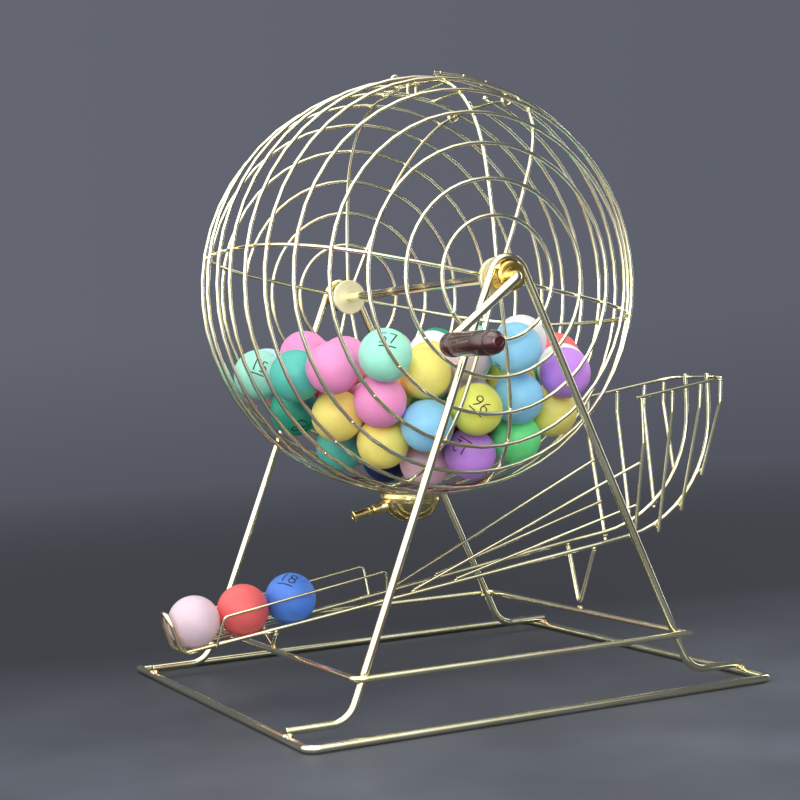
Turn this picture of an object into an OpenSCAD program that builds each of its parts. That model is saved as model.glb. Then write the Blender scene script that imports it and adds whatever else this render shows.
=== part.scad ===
// Hand-cranked lottery machine: wire ball cage on a rod stand with a ball chute.
// Origin on the table below the cage centre, +X along the chute towards the scoop,
// -Y is the crank side, +Z up. Millimetres.

/* [Cage] */
// Height of the cage axle above the table
hub_height = 315; // [250:1:400]
// Centre-line radius of the largest cage rings
cage_r = 165; // [120:0.5:200]
// Half length of the cage profile along the axle
cage_half = 137.2; // [100:0.1:170]
// Profile radius of the band around the middle
band_radius = 412.6; // [200:0.1:800]
// Profile radius of the shoulders
shoulder_radius = 90; // [50:0.5:120]
// Profile radius of the two end domes
dome_radius = 422.7; // [200:0.1:800]
// Arc length from ring to ring
ring_pitch = 27.7; // [20:0.1:40]
// Wire thickness of rings and lengthwise wires
cage_wire = 3; // [2:0.1:5]
// Half angle between the two wires of a pair
pair_angle = 12.2; // [6:0.1:20]
// How far the cage stands turned at rest, top towards the scoop
cage_turn = 12; // [-45:1:45]
// How far the bottom pair and cup sit from straight opposite the door
exit_turn = -6.8; // [-15:0.1:15]
// Diameter of the hub discs
hub_disc_d = 30; // [16:0.5:50]
// Thickness of the hub discs
hub_disc_t = 4; // [2:0.5:8]
// Diameter of the weld knobs on the door side
knob_d = 4.4; // [3.2:0.1:6]

/* [Axle and crank] */
// Diameter of the axle and crank rod
axle_d = 7; // [4:0.1:12]
// Distance from axle to grip spindle
crank_arm = 80; // [50:1:120]
// Direction of the crank arm, from +X towards +Z
crank_angle = 217; // [0:1:360]
// Centre-line bend radius of the crank
crank_bend = 6.5; // [4:0.5:12]
// Length of axle left straight between the front bush and the crank bend
crank_gap = 4.5; // [0.2:0.1:12]
// Diameter of the grip
grip_d = 17.5; // [12:0.5:30]
// Diameter of the collar at the inner end of the grip
grip_collar_d = 17.5; // [12:0.5:32]
// Length of the grip
grip_len = 71; // [50:1:120]
// Diameter of the gold bushes
bush_d = 22; // [14:0.5:40]
// Length of each bush along the axle
bush_len = 14; // [8:0.5:30]
// Diametral clearance of the axle in the bushes
axle_play = 0.15; // [0.05:0.01:0.2]
// Diameter of the retaining collar behind the rear bush
collar_d = 13; // [10:0.5:20]

/* [Stand] */
// Diameter of floor frame and leg rods
leg_d = 6; // [4:0.1:10]
// Half length of the floor frame along X
floor_x = 190; // [120:1:250]
// Half width of the floor frame along Y
floor_y = 187; // [120:1:250]
// Corner bend radius of the floor frame
floor_bend = 8; // [6:1:30]
// Distance of the legs from the middle plane
leg_y = 150; // [100:0.5:200]
// Half distance between the two feet corners of a leg frame
foot_x = 143.5; // [80:0.5:180]
// Bend radius at the feet
foot_bend = 20; // [8:1:40]
// Diameter of the brace rods
brace_d = 5; // [3:0.1:8]
// Height of the brace frame
brace_z = 38.5; // [20:0.5:80]
// Half length of the brace frame along X
brace_x = 139; // [80:0.5:180]
// Corner bend radius of the brace frame
brace_bend = 8; // [5:0.5:20]

/* [Chute] */
// Diameter of the two chute rails
rail_d = 3.8; // [2:0.1:6]
// X of the low end of the rails
rail_x0 = -212; // [-260:1:-150]
// Height of the low end of the rails
rail_z0 = 47; // [20:0.5:80]
// X where the slope ends and the scoop curve starts
rail_x1 = 150; // [100:1:200]
// Height where the slope ends
rail_z1 = 96; // [60:0.5:140]
// Half spacing of the rails at the low end
rail_y0 = 10.5; // [6:0.5:18]
// Half spacing of the rails where the scoop curve starts
rail_y1 = 21; // [8:0.5:30]
// Bend radius of the scoop curve
scoop_bend = 105; // [60:1:160]
// Angle that each rail turns inwards along the scoop curve
bend_in = 2.4; // [0:0.1:6]
// Height of the rail tops
rail_top = 233; // [180:1:280]
// Lean of the ball stop hoop
stop_lean = 17.8; // [0:0.1:40]
// Straight length of the ball stop hoop
stop_len = 21; // [10:0.5:40]
// Bend radius where the rails turn up into the hoop
stop_bend = 6; // [4:0.5:12]
// How far in from the low end the first ball's middle lies
stop_ball = 9.6; // [9:0.1:20]
// Diameter of the guard wires beside the balls
guard_d = 2; // [1.5:0.1:4]
// X where the guards start
guard_x0 = -190; // [-205:0.5:-150]
// X where the guards end
guard_x1 = -47.5; // [-100:0.5:0]
// Distance of the guard bars from the middle plane
guard_y = 22; // [21.5:0.1:30]
// Height of each guard bar above its rail at the low end
guard_rise_low = 21.3; // [10:0.1:30]
// Height of each guard bar above its rail at the high end
guard_rise_high = 24.1; // [10:0.1:30]
// Diameter of the funnel wires
funnel_d = 2.5; // [1.5:0.1:4]
// X where the upper and the lower funnel wires leave the rails
funnel_x = [-24, 14];
// Height where the upper and the lower funnel wires meet the posts
funnel_z = [162, 126];
// Diameter of the strut wires
strut_d = 3.5; // [2:0.1:6]
// Diameter of the scoop rim and posts
scoop_d = 3; // [2:0.1:5]
// Where each pair of posts stands on the rails and meets the rim
post_rail_x = [182, 208, 233, 256];
post_rim_x = [183, 214, 243, 264];
// How far below the rim each pair of posts is kinked
post_kink_drop = [39.1, 18.6, 20.8, 20.8];
// Half width of the scoop rim
scoop_y = 42; // [25:0.5:60]
// Corner radius of the scoop rim
scoop_corner = 17; // [8:1:35]
// X where the scoop rim begins
scoop_x0 = 178; // [150:1:220]
// Height of the scoop rim at its beginning
scoop_z0 = 216.4; // [180:0.5:240]
// Upward slope of the scoop rim
scoop_tilt = 8.2; // [0:0.1:20]

/* [Door and exit] */
// Wire thickness of the door
door_d = 2.5; // [1.5:0.1:4]
// Distance of the door cross bars from the middle plane
door_y = 46; // [30:0.5:60]
// Angle of each lengthwise door bar from the top
door_bars = [-9.5, -2.5, 4.5];
// Angle of the cut end of the near and far end rings left of the door
door_cut_l = 11.2; // [8:0.1:14]
// Angle of the cut end of the near and far end rings right of the door
door_cut_r = 10.8; // [8:0.1:14]
// Place of the pull ring along its door bar
pull_y = 34; // [-44:1:44]
// Mean radius of the pull ring
pull_r = 4.4; // [3:0.1:8]
// Mean radius of the hinge eyes
eye_r = 4; // [3:0.1:8]
// Wire thickness of pull and latch rings
loop_d = 2.2; // [1.5:0.1:3]
// Place of the latch ring along the left top wire
latch_y = -10; // [-11:0.5:-8]
// Outer diameter of the exit cup
cup_d = 49; // [44:0.5:60]
// Wall thickness of the cup
cup_wall = 1; // [0.6:0.1:3]
// Straight depth of the cup below its rim
cup_band = 8; // [2:0.5:20]
// Depth of the round bottom of the cup
cup_cap = 18; // [8:0.5:24]
// Distance of the cup mouth from the axle
cup_mouth = 162.5; // [150:0.5:170]
// Diameter of the pull pin shaft
pin_d = 4; // [2:0.1:6]
// Diameter of the pull pin body
pin_body_d = 6.6; // [5:0.1:10]
// Diameter of the boss on the cup that guides the pull pin
pin_boss_d = 8.4; // [7:0.1:12]
// Length of that boss along the pin
pin_boss_len = 14; // [8:0.5:20]
// Distance of the pin line from the cup's middle where it enters the wall
pin_x = 19.5; // [15:0.1:24]
// Depth of the pin line below the cup mouth where it enters the wall
pin_z = 12.6; // [8:0.1:18]
// Angle of the pull pin against the cup mouth
pin_angle = 17; // [0:1:40]

/* [Balls] */
// Diameter of the numbered balls
ball_d = 40; // [30:0.5:41]
// Gap kept between touching balls of the heap
heap_gap = 0.3; // [0.2:0.1:1]
// How far below the axle the highest ball centres of the heap lie
heap_top_drop = 49; // [20:1:110]
// How far below the axle the upper group of the heap ends
heap_upper_drop = 75; // [50:1:100]
// How far below the axle the lower group of the heap starts
heap_lower_drop = 112; // [90:1:130]
// Gap left at welded contacts
weld_gap = 0.1; // [0.05:0.01:0.3]
// How much thicker the ball at a bend or weld is than its wire
bead = 0.4; // [0.2:0.1:1]

/* [Hidden] */
$fn = 48;
rings = 16;
eps = 0.01;
C1 = [cage_r - band_radius, 0];
C3 = [0, cage_half - dome_radius];
ca = band_radius - shoulder_radius;
cb = dome_radius - shoulder_radius;
cl = norm(C3 - C1);
cx = (ca * ca - cb * cb + cl * cl) / (2 * cl);
ch = sqrt(ca * ca - cx * cx);
cu = (C3 - C1) / cl;
C2 = C1 + cu * cx + [-cu[1], cu[0]] * ch;
t1 = atan2(C2[1] - C1[1], C2[0] - C1[0]);
t2 = atan2(C2[1] - C3[1], C2[0] - C3[0]);
s1 = band_radius * t1 * PI / 180;
s2 = s1 + shoulder_radius * (t2 - t1) * PI / 180;
wire_in = cage_wire + weld_gap;
pair_r = band_radius - wire_in;
eye_v = C1[0] + sqrt(pair_r * pair_r - door_y * door_y);
disc_r = hub_disc_d / 2;
disc_y = C3[1] + sqrt(pow(dome_radius - wire_in, 2) - pow(disc_r, 2));
leg_top = bush_d / 2 + leg_d / 2 + weld_gap;
foot_z = leg_d * 1.5 + weld_gap;
foot_gap = [foot_x, hub_height - foot_z];
leg_a = atan2(foot_gap[1], foot_gap[0]) + asin(leg_top / norm(foot_gap));
foot_run = foot_bend * tan(leg_a / 2);
brace_y = leg_y + leg_d / 2 + brace_d / 2 + weld_gap;
rail_slope = (rail_z1 - rail_z0) / (rail_x1 - rail_x0);
rail_spread = (rail_y1 - rail_y0) / (rail_x1 - rail_x0);
slope_a = atan(rail_slope);
bend_c = [rail_x1 + scoop_bend * sin(slope_a), rail_z1 + scoop_bend * cos(slope_a)];
rail_x2 = rail_x1 + (bend_c[0] + scoop_bend - rail_x1) * cos(bend_in);
rail_y2 = rail_y1 - (bend_c[0] + scoop_bend - rail_x1) * sin(bend_in);
stop_run = stop_bend * tan((90 + slope_a - stop_lean) / 2);
scoop_x1 = rail_x2 + rail_d / 2 + scoop_d / 2 + weld_gap;
scoop_len = (scoop_x1 - scoop_x0) / cos(scoop_tilt);
door_r = ring_r(2) + cage_wire / 2 + door_d / 2 + weld_gap;
cup_r = cup_d / 2;
cup_sphere = (cup_r * cup_r + cup_cap * cup_cap) / (2 * cup_cap);
cup_cut = asin((sqrt(pow(cup_r, 2) - pow(ring_y(1) - cage_wire / 2, 2)) + weld_gap) / ring_r(1));
bush_in = leg_y - bush_len / 2;
bush_out = leg_y + bush_len / 2;

function at_arc(s) = s < s1 ? C1 + band_radius * [cos(s / band_radius * 180 / PI), sin(s / band_radius * 180 / PI)]
    : s < s2 ? C2 + shoulder_radius * [cos(t1 + (s - s1) / shoulder_radius * 180 / PI), sin(t1 + (s - s1) / shoulder_radius * 180 / PI)]
    : C3 + dome_radius * [cos(t2 + (s - s2) / dome_radius * 180 / PI), sin(t2 + (s - s2) / dome_radius * 180 / PI)];
function ring_at(j) = at_arc(ring_pitch * (j - 0.5));
function ring_r(j) = ring_at(j)[0];
function ring_y(j) = ring_at(j)[1];
function ring_side(k) = k <= 8 ? -1 : 1;
function ring_rank(k) = k <= 8 ? 9 - k : k - 8;
function rail_z(x) = rail_z0 + (x - rail_x0) * rail_slope;
function rail_y(x) = rail_y0 + (x - rail_x0) * rail_spread;
function bend_rail_z(x) = bend_c[1] - sqrt(pow(scoop_bend, 2) - pow(x - bend_c[0], 2));
function bend_rail_y(x) = rail_y1 - (x - rail_x1) * tan(bend_in);
function rim_z(x) = scoop_z0 + (x - scoop_x0) * tan(scoop_tilt);
function turn_point(r, a, y) = [r * sin(a), y, r * cos(a)];

// Which sub-part to show

module straight(a, b, d) {
    v = b - a;
    translate(a) rotate([0, acos(v[2] / norm(v)), atan2(v[1], v[0])]) cylinder(d = d, h = norm(v));
}

module wire_path(p, d) {
    for (i = [0 : len(p) - 2]) straight(p[i], p[i + 1], d);
    for (i = [1 : len(p) - 2]) knob(p[i], d + bead);
}

// Bend in the XZ plane at y, angles from +X towards +Z
module bend(c, y, r, from, sweep, d) {
    translate([c[0], y, c[1]]) rotate([90, 0, 0]) rotate_extrude(angle = sweep, start = from, $fn = 96)
        translate([r, 0]) circle(d = d, $fn = 24);
}

// Bend in the XY plane at z
module flat_bend(c, z, r, from, sweep, d) {
    translate([c[0], c[1], z]) rotate_extrude(angle = sweep, start = from, $fn = 96)
        translate([r, 0]) circle(d = d, $fn = 24);
}

module knob(p, d) {
    translate(p) sphere(d = d);
}

// Joint ball with its poles along the rod direction v
module joint(p, v, d) {
    translate(p) rotate([0, acos(v[2] / norm(v)), atan2(v[1], v[0])]) rotate([0, 0, 37]) sphere(d = d);
}

// Cage parts are drawn about the axle line and lifted to hub height
module on_cage() {
    translate([0, 0, hub_height]) rotate([0, cage_turn, 0]) children();
}

module ring_arc(j, side, from, to) {
    bend([0, 0], side * ring_y(j), ring_r(j), 90 - to, to - from, cage_wire);
}

module cage_ring(k) {
    j = ring_rank(k);
    side = ring_side(k);
    color("#d9cfae") on_cage() {
        if (j > 1) {
            translate([0, side * ring_y(j), 0]) rotate([90, 0, 0])
                rotate_extrude($fn = 128) translate([ring_r(j), 0]) circle(d = cage_wire, $fn = 24);
        } else {
            ring_arc(1, side, door_cut_r, 180 + exit_turn - cup_cut);
            ring_arc(1, side, 180 + exit_turn + cup_cut, 360 - door_cut_l);
            knob(turn_point(ring_r(1), door_cut_r, side * ring_y(1)), knob_d);
        }
    }
}

// One lengthwise wire along the cage profile in the half plane at the given angle
module length_wire(a) {
    r1 = band_radius - wire_in;
    r2 = shoulder_radius - wire_in;
    r3 = dome_radius - wire_in;
    te = acos((disc_r + weld_gap) / r3);
    rotate([0, a - 90, 0]) {
        flat_bend(C1, 0, r1, -t1, 2 * t1, cage_wire);
        for (m = [0, 1]) mirror([0, m, 0]) {
            flat_bend(C2, 0, r2, t1, t2 - t1, cage_wire);
            flat_bend(C3, 0, r3, t2, te - t2, cage_wire);
            joint([C1[0] + r1 * cos(t1), r1 * sin(t1), 0], [-sin(t1), cos(t1), 0], cage_wire + bead);
            joint([C3[0] + r3 * cos(t2), C3[1] + r3 * sin(t2), 0], [-sin(t2), cos(t2), 0], cage_wire + bead);
        }
    }
}

module cage_side_wires() {
    color("#d9cfae") on_cage() {
        length_wire(90);
        length_wire(-90);
    }
}

module cage_top_wires() {
    color("#d9cfae") on_cage() {
        length_wire(pair_angle);
        length_wire(-pair_angle);
    }
}

module cage_bottom_wires() {
    color("#d9cfae") on_cage() {
        length_wire(180 + exit_turn + pair_angle);
        length_wire(180 + exit_turn - pair_angle);
    }
}

module hub_disc(side) {
    color("#c9b26a") translate([0, side * disc_y, hub_height]) rotate([90, 0, 0]) difference() {
        cylinder(d = hub_disc_d, h = hub_disc_t, center = true, $fn = 96);
        cylinder(d = axle_d + 0.04, h = hub_disc_t + 2, center = true);
    }
}

module front_hub_disc() {
    hub_disc(-1);
}

module rear_hub_disc() {
    hub_disc(1);
}

module crank_axle() {
    y0 = -bush_out - crank_gap;
    y1 = y0 - crank_bend;
    y2 = y1 - crank_bend;
    ye = y2 - grip_len + 6;
    b = crank_bend;
    color("#cfc6a8") translate([0, 0, hub_height]) rotate([0, -crank_angle, 0]) {
        straight([0, leg_y + 17, 0], [0, y0, 0], axle_d);
        joint([0, y0, 0], [0, 1, 0], axle_d);
        flat_bend([b, y0], 0, b, 180, 90, axle_d);
        joint([b, y1, 0], [1, 0, 0], axle_d);
        straight([b, y1, 0], [crank_arm - b, y1, 0], axle_d);
        joint([crank_arm - b, y1, 0], [1, 0, 0], axle_d);
        flat_bend([crank_arm - b, y2], 0, b, 0, 90, axle_d);
        joint([crank_arm, y2, 0], [0, 1, 0], axle_d);
        straight([crank_arm, y2, 0], [crank_arm, ye, 0], axle_d);
    }
}

module crank_grip() {
    g = grip_d / 2;
    c = grip_collar_d / 2;
    n = grip_len;
    y2 = -bush_out - crank_gap - 2 * crank_bend - 1.2;
    color("#5a1016") translate([crank_arm * cos(crank_angle), y2, hub_height + crank_arm * sin(crank_angle)])
        rotate([90, 0, 0]) difference() {
            rotate_extrude($fn = 96) polygon([[0, 0], [c - 1, 0], [c, 1], [c, 9], [c - 0.8, 10.4], [g - 1.3, 10.8],
                [g - 1.3, 11.4], [g - 0.5, 12.6], [g, 14.5], [g, n - 10], [g - 0.3, n - 9.4], [g - 0.8, n - 5],
                [g - 2.6, n - 1.2], [g - 4.2, n], [0, n]]);
            translate([0, 0, -1]) cylinder(d = axle_d + 0.6, h = n - 4);
        }
}

module rear_collar() {
    color("#c9b26a") translate([0, bush_out + 3.4, hub_height]) rotate([90, 0, 0]) difference() {
        cylinder(d = collar_d, h = 6, center = true, $fn = 64);
        cylinder(d = axle_d + 0.04, h = 8, center = true);
    }
}

module bush(side) {
    color("#d8a930") translate([0, side * leg_y, hub_height]) rotate([90, 0, 0]) difference() {
        cylinder(d = bush_d, h = bush_len, center = true, $fn = 96);
        cylinder(d = axle_d + axle_play, h = bush_len + 2, center = true);
    }
}

module front_bush() {
    bush(-1);
}

module rear_bush() {
    bush(1);
}

module floor_frame() {
    z = leg_d / 2;
    b = floor_bend;
    color("#d9cfae") {
        for (m = [0, 1]) mirror([m, 0, 0]) {
            straight([floor_x, floor_y + 4, z], [floor_x, b - floor_y, z], leg_d);
            knob([floor_x, b - floor_y, z], leg_d);
            flat_bend([floor_x - b, b - floor_y], z, b, 270, 90, leg_d);
            knob([floor_x - b, -floor_y, z], leg_d);
        }
        straight([b - floor_x, -floor_y, z], [floor_x - b, -floor_y, z], leg_d);
    }
}

module floor_back_rod() {
    x = floor_x - leg_d / 2 - weld_gap;
    color("#d9cfae") straight([-x, floor_y - 2, leg_d / 2], [x, floor_y - 2, leg_d / 2], leg_d);
}

// Foot, bend, leg and loop are drawn as separate lengths of one rod, a weld gap apart
module leg_frame(y) {
    c = [foot_x + foot_run, foot_z + foot_bend];
    q = [leg_top * sin(leg_a), hub_height + leg_top * cos(leg_a)];
    p = [foot_x + foot_run - foot_bend * sin(leg_a), foot_z + foot_bend - foot_bend * cos(leg_a)];
    g = (q - p) / norm(p - q) * weld_gap;
    color("#d9cfae") {
        for (s = [-1, 1]) {
            straight([s * (floor_x + 1), y, foot_z], [s * (foot_x + foot_run + weld_gap), y, foot_z], leg_d);
            bend([s * c[0], c[1]], y, foot_bend, s > 0 ? 270 - leg_a : 270, leg_a, leg_d);
            straight([s * (p[0] + g[0]), y, p[1] + g[1]], [s * (q[0] - g[0]), y, q[1] - g[1]], leg_d);
        }
        bend([0, hub_height], y, leg_top, 90 - leg_a, 2 * leg_a, leg_d);
    }
}

module front_legs() {
    leg_frame(-leg_y);
}

module rear_legs() {
    leg_frame(leg_y);
}

module brace_frame() {
    b = brace_bend;
    color("#d9cfae") {
        straight([brace_x + 3, -brace_y, brace_z], [b - brace_x, -brace_y, brace_z], brace_d);
        knob([b - brace_x, -brace_y, brace_z], brace_d);
        flat_bend([b - brace_x, b - brace_y], brace_z, b, 180, 90, brace_d);
        knob([-brace_x, b - brace_y, brace_z], brace_d);
        straight([-brace_x, b - brace_y, brace_z], [-brace_x, brace_y + 3, brace_z], brace_d);
    }
}

module brace_back_rod() {
    b = brace_bend;
    color("#d9cfae") {
        straight([brace_d / 2 + weld_gap - brace_x, brace_y, brace_z], [brace_x - b, brace_y, brace_z], brace_d);
        joint([brace_x - b, brace_y, brace_z], [1, 0, 0], brace_d);
        flat_bend([brace_x - b, brace_y - b], brace_z, b, 0, 90, brace_d);
        joint([brace_x, brace_y - b, brace_z], [0, 1, 0], brace_d);
        straight([brace_x, brace_y - b, brace_z], [brace_x, brace_d / 2 + weld_gap - brace_y, brace_z], brace_d);
    }
}

module chute_rails() {
    color("#d9cfae") {
        for (s = [-1, 1]) {
            foot = [rail_x0 - 4, s * rail_y0, rail_z(rail_x0 - 4)];
            top = foot + [-stop_len * sin(stop_lean), 0, stop_len * cos(stop_lean)];
            high = [rail_x1, s * rail_y1, rail_z1];
            up = (high - foot) / norm(high - foot);
            back = (top - foot) / norm(top - foot);
            straight(foot + up * (stop_run + weld_gap), high - up * (weld_gap + 0.1), rail_d);
            bend([foot[0] + stop_run * cos(slope_a) - stop_bend * sin(slope_a), foot[2] + stop_run * sin(slope_a) + stop_bend * cos(slope_a)],
                foot[1], stop_bend, 180 + stop_lean, 90 + slope_a - stop_lean, rail_d);
            straight(foot + back * (stop_run + weld_gap), top - back * weld_gap, rail_d);
            translate([rail_x1, s * rail_y1, 0]) rotate([0, 0, -s * bend_in]) translate([-rail_x1, 0, 0]) {
                bend(bend_c, 0, scoop_bend, 270 + slope_a, 90 - slope_a, rail_d);
                knob([bend_c[0] + scoop_bend, 0, bend_c[1]], rail_d);
                straight([bend_c[0] + scoop_bend, 0, bend_c[1]], [bend_c[0] + scoop_bend, 0, rail_top], rail_d);
            }
        }
        translate([rail_x0 - 4 - stop_len * sin(stop_lean), 0, rail_z(rail_x0 - 4) + stop_len * cos(stop_lean)])
            rotate([0, -stop_lean, 0]) rotate([0, 0, 90]) rotate([90, 0, 0])
                rotate_extrude(angle = 180, $fn = 96) translate([rail_y0, 0]) circle(d = rail_d, $fn = 24);
    }
}

module strut(x, xr) {
    off = (rail_d + strut_d + bead) / 2 + weld_gap;
    z = brace_z + (brace_d + strut_d + bead) / 2 + weld_gap;
    color("#d9cfae") {
        for (m = [0, 1]) mirror([0, m, 0])
            straight([x, 0, z], [xr, rail_y(xr), rail_z(xr) - off], strut_d);
        knob([x, 0, z], strut_d + bead);
        for (m = [0, 1]) mirror([0, m, 0]) knob([xr, rail_y(xr), rail_z(xr) - off], strut_d + bead);
    }
}

module strut_left() {
    strut(-brace_x, -brace_x - 2);
}

module strut_right() {
    strut(brace_x, brace_x + 4);
}

module guard(side) {
    o = rail_d / 2 + guard_d / 2 + weld_gap;
    a = guard_x0 + 5;
    b = guard_x1 - 2.5;
    color("#d9cfae") wire_path([[guard_x0, side * (rail_y(guard_x0) + o), rail_z(guard_x0) - 1],
        [a, side * guard_y, rail_z(a) + guard_rise_low], [b, side * guard_y, rail_z(b) + guard_rise_high],
        [guard_x1, side * (rail_y(guard_x1) + o), rail_z(guard_x1) - 1]], guard_d);
}

module guard_near() {
    guard(-1);
}

module guard_far() {
    guard(1);
}

// Post number i of the scoop: rail point, kink and rim point
function post_rail(i) = [post_rail_x[i], bend_rail_y(post_rail_x[i]), bend_rail_z(post_rail_x[i])];
function post_kink(i) = [post_rail_x[i] + (post_rim_x[i] - post_rail_x[i]) * 0.8, scoop_y, rim_z(post_rim_x[i]) - post_kink_drop[i]];
function post_across(i) = cross(let (s = (post_rail_x[i] - bend_c[0]) / scoop_bend, c = sqrt(1 - s * s))
    [c * cos(bend_in), -c * sin(bend_in), s], post_kink(i) - post_rail(i));
function post_out(i) = (rail_d / 2 + scoop_d / 2 + weld_gap) * norm(post_across(i)) / abs(post_across(i)[1]);
function post_low(i) = post_rail(i) + [0, post_out(i), 0];
function post_top(i) = [post_rim_x[i], scoop_y, rim_z(post_rim_x[i]) - scoop_d - bead / 2 - weld_gap];
function along(a, b, z) = a + (b - a) * ((z - a[2]) / (b[2] - a[2]));

module posts() {
    for (i = [0 : 3]) {
        a = post_low(i);
        b = post_kink(i);
        wire_path([a + (a - b) / norm(a - b) * 4, b, post_top(i)], scoop_d);
        knob(post_top(i), scoop_d + bead);
    }
}

module scoop_posts_near() {
    color("#d9cfae") mirror([0, 1, 0]) posts();
}

module scoop_posts_far() {
    color("#d9cfae") posts();
}

module scoop_rim() {
    w = scoop_y;
    c = scoop_corner;
    n = scoop_len;
    color("#d9cfae") translate([scoop_x0, 0, scoop_z0]) rotate([0, -scoop_tilt, 0]) {
        for (m = [0, 1]) mirror([0, m, 0]) {
            straight([0, w, 0], [n - c, w, 0], scoop_d);
            joint([n - c, w, 0], [1, 0, 0], scoop_d);
            flat_bend([n - c, w - c], 0, c, 0, 90, scoop_d);
            joint([n, w - c, 0], [0, 1, 0], scoop_d);
        }
        straight([n, c - w, 0], [n, w - c, 0], scoop_d);
    }
}

// Pair of wires from the rails to the first posts: 0 for the upper pair, 1 for the lower
module funnel_pair(i) {
    x = funnel_x[i];
    o = (rail_d + funnel_d + bead) / 2 + weld_gap;
    p = along(post_low(0), post_kink(0), funnel_z[i]);
    e = p - [0, (scoop_d + funnel_d + bead) / 2 + weld_gap, 0];
    for (m = [0, 1]) mirror([0, m, 0]) {
        straight([x, rail_y(x) + o * 0.37, rail_z(x) + o * 0.93], e, funnel_d);
        knob([x, rail_y(x) + o * 0.37, rail_z(x) + o * 0.93], funnel_d + bead);
        knob(e, funnel_d + bead);
    }
}

module funnel_upper() {
    color("#d9cfae") funnel_pair(0);
}

module funnel_lower() {
    color("#d9cfae") funnel_pair(1);
}

// The door lies on the outside of the rings between the top pair and turns about the right wire
module door_panel() {
    r = door_r;
    ye = door_y;
    ea = turn_point(r, 9, 0);
    ec = turn_point(eye_v, pair_angle, 0);
    et = ec + [-eye_r * 0.6, 0, eye_r * 0.8];
    color("#d9cfae") on_cage() {
        for (s = [-1, 1]) {
            bend([0, 0], s * ye, r, 81, 20.5, door_d);
            knob(ea + [0, s * ye, 0], door_d + bead);
            straight(ea + [0, s * ye, 0], et + [0, s * ye, 0], door_d);
            knob(et + [0, s * ye, 0], door_d + bead);
            translate(ec + [0, s * ye, 0]) rotate([90, 0, 0])
                rotate_extrude($fn = 64) translate([eye_r, 0]) circle(d = door_d, $fn = 24);
        }
        for (a = door_bars) straight(turn_point(r, a, -ye), turn_point(r, a, ye), door_d);
    }
}

module door_pull() {
    r = door_r + door_d / 2 + loop_d / 2 + weld_gap + pull_r;
    color("#d9cfae") on_cage() translate(turn_point(r, door_bars[0], pull_y)) rotate([90, 0, 0])
        rotate_extrude($fn = 64) translate([pull_r, 0]) circle(d = loop_d, $fn = 24);
}

// Oval latch ring hanging on the left wire of the top pair
module latch_ring() {
    q = 3.6;
    n = 5;
    rv = C1[0] + sqrt(pair_r * pair_r - latch_y * latch_y);
    rt = rv + cage_wire / 2 + loop_d / 2 + weld_gap;
    color("#d9cfae") on_cage() rotate([0, -pair_angle, 0]) translate([0, latch_y, rt - q]) {
        bend([0, 0], 0, q, 0, 180, loop_d);
        bend([0, -n], 0, q, 180, 180, loop_d);
        for (x = [-q, q]) {
            straight([x, 0, 0], [x, 0, -n], loop_d);
            knob([x, 0, 0], loop_d);
            knob([x, 0, -n], loop_d);
        }
    }
}

// Exit parts are drawn with the mouth plane at z = 0, +Z away from the axle, +X towards the pin
module on_exit() {
    on_cage() rotate([0, 180 + exit_turn, 0]) translate([0, 0, cup_mouth]) children();
}

module pin_line() {
    translate([pin_x, 0, pin_z]) rotate([0, 90 - pin_angle, 0]) children();
}

module exit_cup() {
    color("#c99a2e") on_exit() difference() {
        union() {
            cylinder(r = cup_r, h = cup_band, $fn = 96);
            intersection() {
                translate([0, 0, cup_band + cup_cap - cup_sphere]) sphere(r = cup_sphere, $fn = 96);
                translate([0, 0, cup_band - eps]) cylinder(r = cup_r, h = cup_cap + 1, $fn = 96);
            }
            pin_line() cylinder(d = pin_boss_d, h = pin_boss_len, $fn = 48);
        }
        translate([0, 0, -1]) cylinder(r = cup_r - cup_wall, h = cup_band + 1, $fn = 96);
        intersection() {
            translate([0, 0, cup_band + cup_cap - cup_sphere]) sphere(r = cup_sphere - cup_wall, $fn = 96);
            translate([0, 0, cup_band - 1]) cylinder(r = cup_r - cup_wall, h = cup_cap, $fn = 96);
        }
        pin_line() translate([0, 0, -2]) cylinder(d = pin_d + 0.3, h = 20);
    }
}

module gate_pin() {
    color("#c99a2e") on_exit() pin_line() {
        translate([0, 0, -2]) cylinder(d = pin_d, h = 17);
        translate([0, 0, pin_boss_len + 0.4]) cylinder(d = pin_body_d, h = 16);
        translate([0, 0, pin_boss_len + 15.4]) cylinder(d = 9, h = 2.4, $fn = 64);
    }
}

// Heap of balls: a slanted lattice, shaken and pushed apart inside the cage profile
heap_spacing = ball_d + heap_gap;
heap_in = ball_d / 2 + wire_in + cage_wire / 2 + heap_gap;
function pull_of(q) = atan2(q[1] - C3[1], q[0]) > t2 ? q - C3 : q[1] < C2[1] + (q[0] - C2[0]) * tan(t1) ? q - C1 : q - C2;
function depth_of(q) = atan2(q[1] - C3[1], q[0]) > t2 ? dome_radius - norm(q - C3)
    : q[1] < C2[1] + (q[0] - C2[0]) * tan(t1) ? band_radius - norm(q - C1) : shoulder_radius - norm(q - C2);
function keep_in(p) = let (
    r = norm([p[0], p[2]]),
    q = [r, abs(p[1])],
    e = heap_in - depth_of(q),
    v = pull_of(q) / norm(pull_of(q)))
    e > 0 ? [p[0] * (1 - v[0] * e / r), p[1] - sign(p[1]) * v[1] * e, p[2] * (1 - v[0] * e / r)] : p;
function add(v, i = 0) = i < len(v) ? v[i] + add(v, i + 1) : [0, 0, 0];
function shove(P, i) = let (near = [for (j = [0 : len(P) - 1]) if (j != i && norm(P[i] - P[j]) < heap_spacing)
    (P[i] - P[j]) * (0.5 * (heap_spacing - norm(P[i] - P[j])) / norm(P[i] - P[j]))]) keep_in(P[i] + add(near));
function relax(P, n) = n == 0 ? P : relax([for (i = [0 : len(P) - 1]) shove(P, i)], n - 1);
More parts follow.
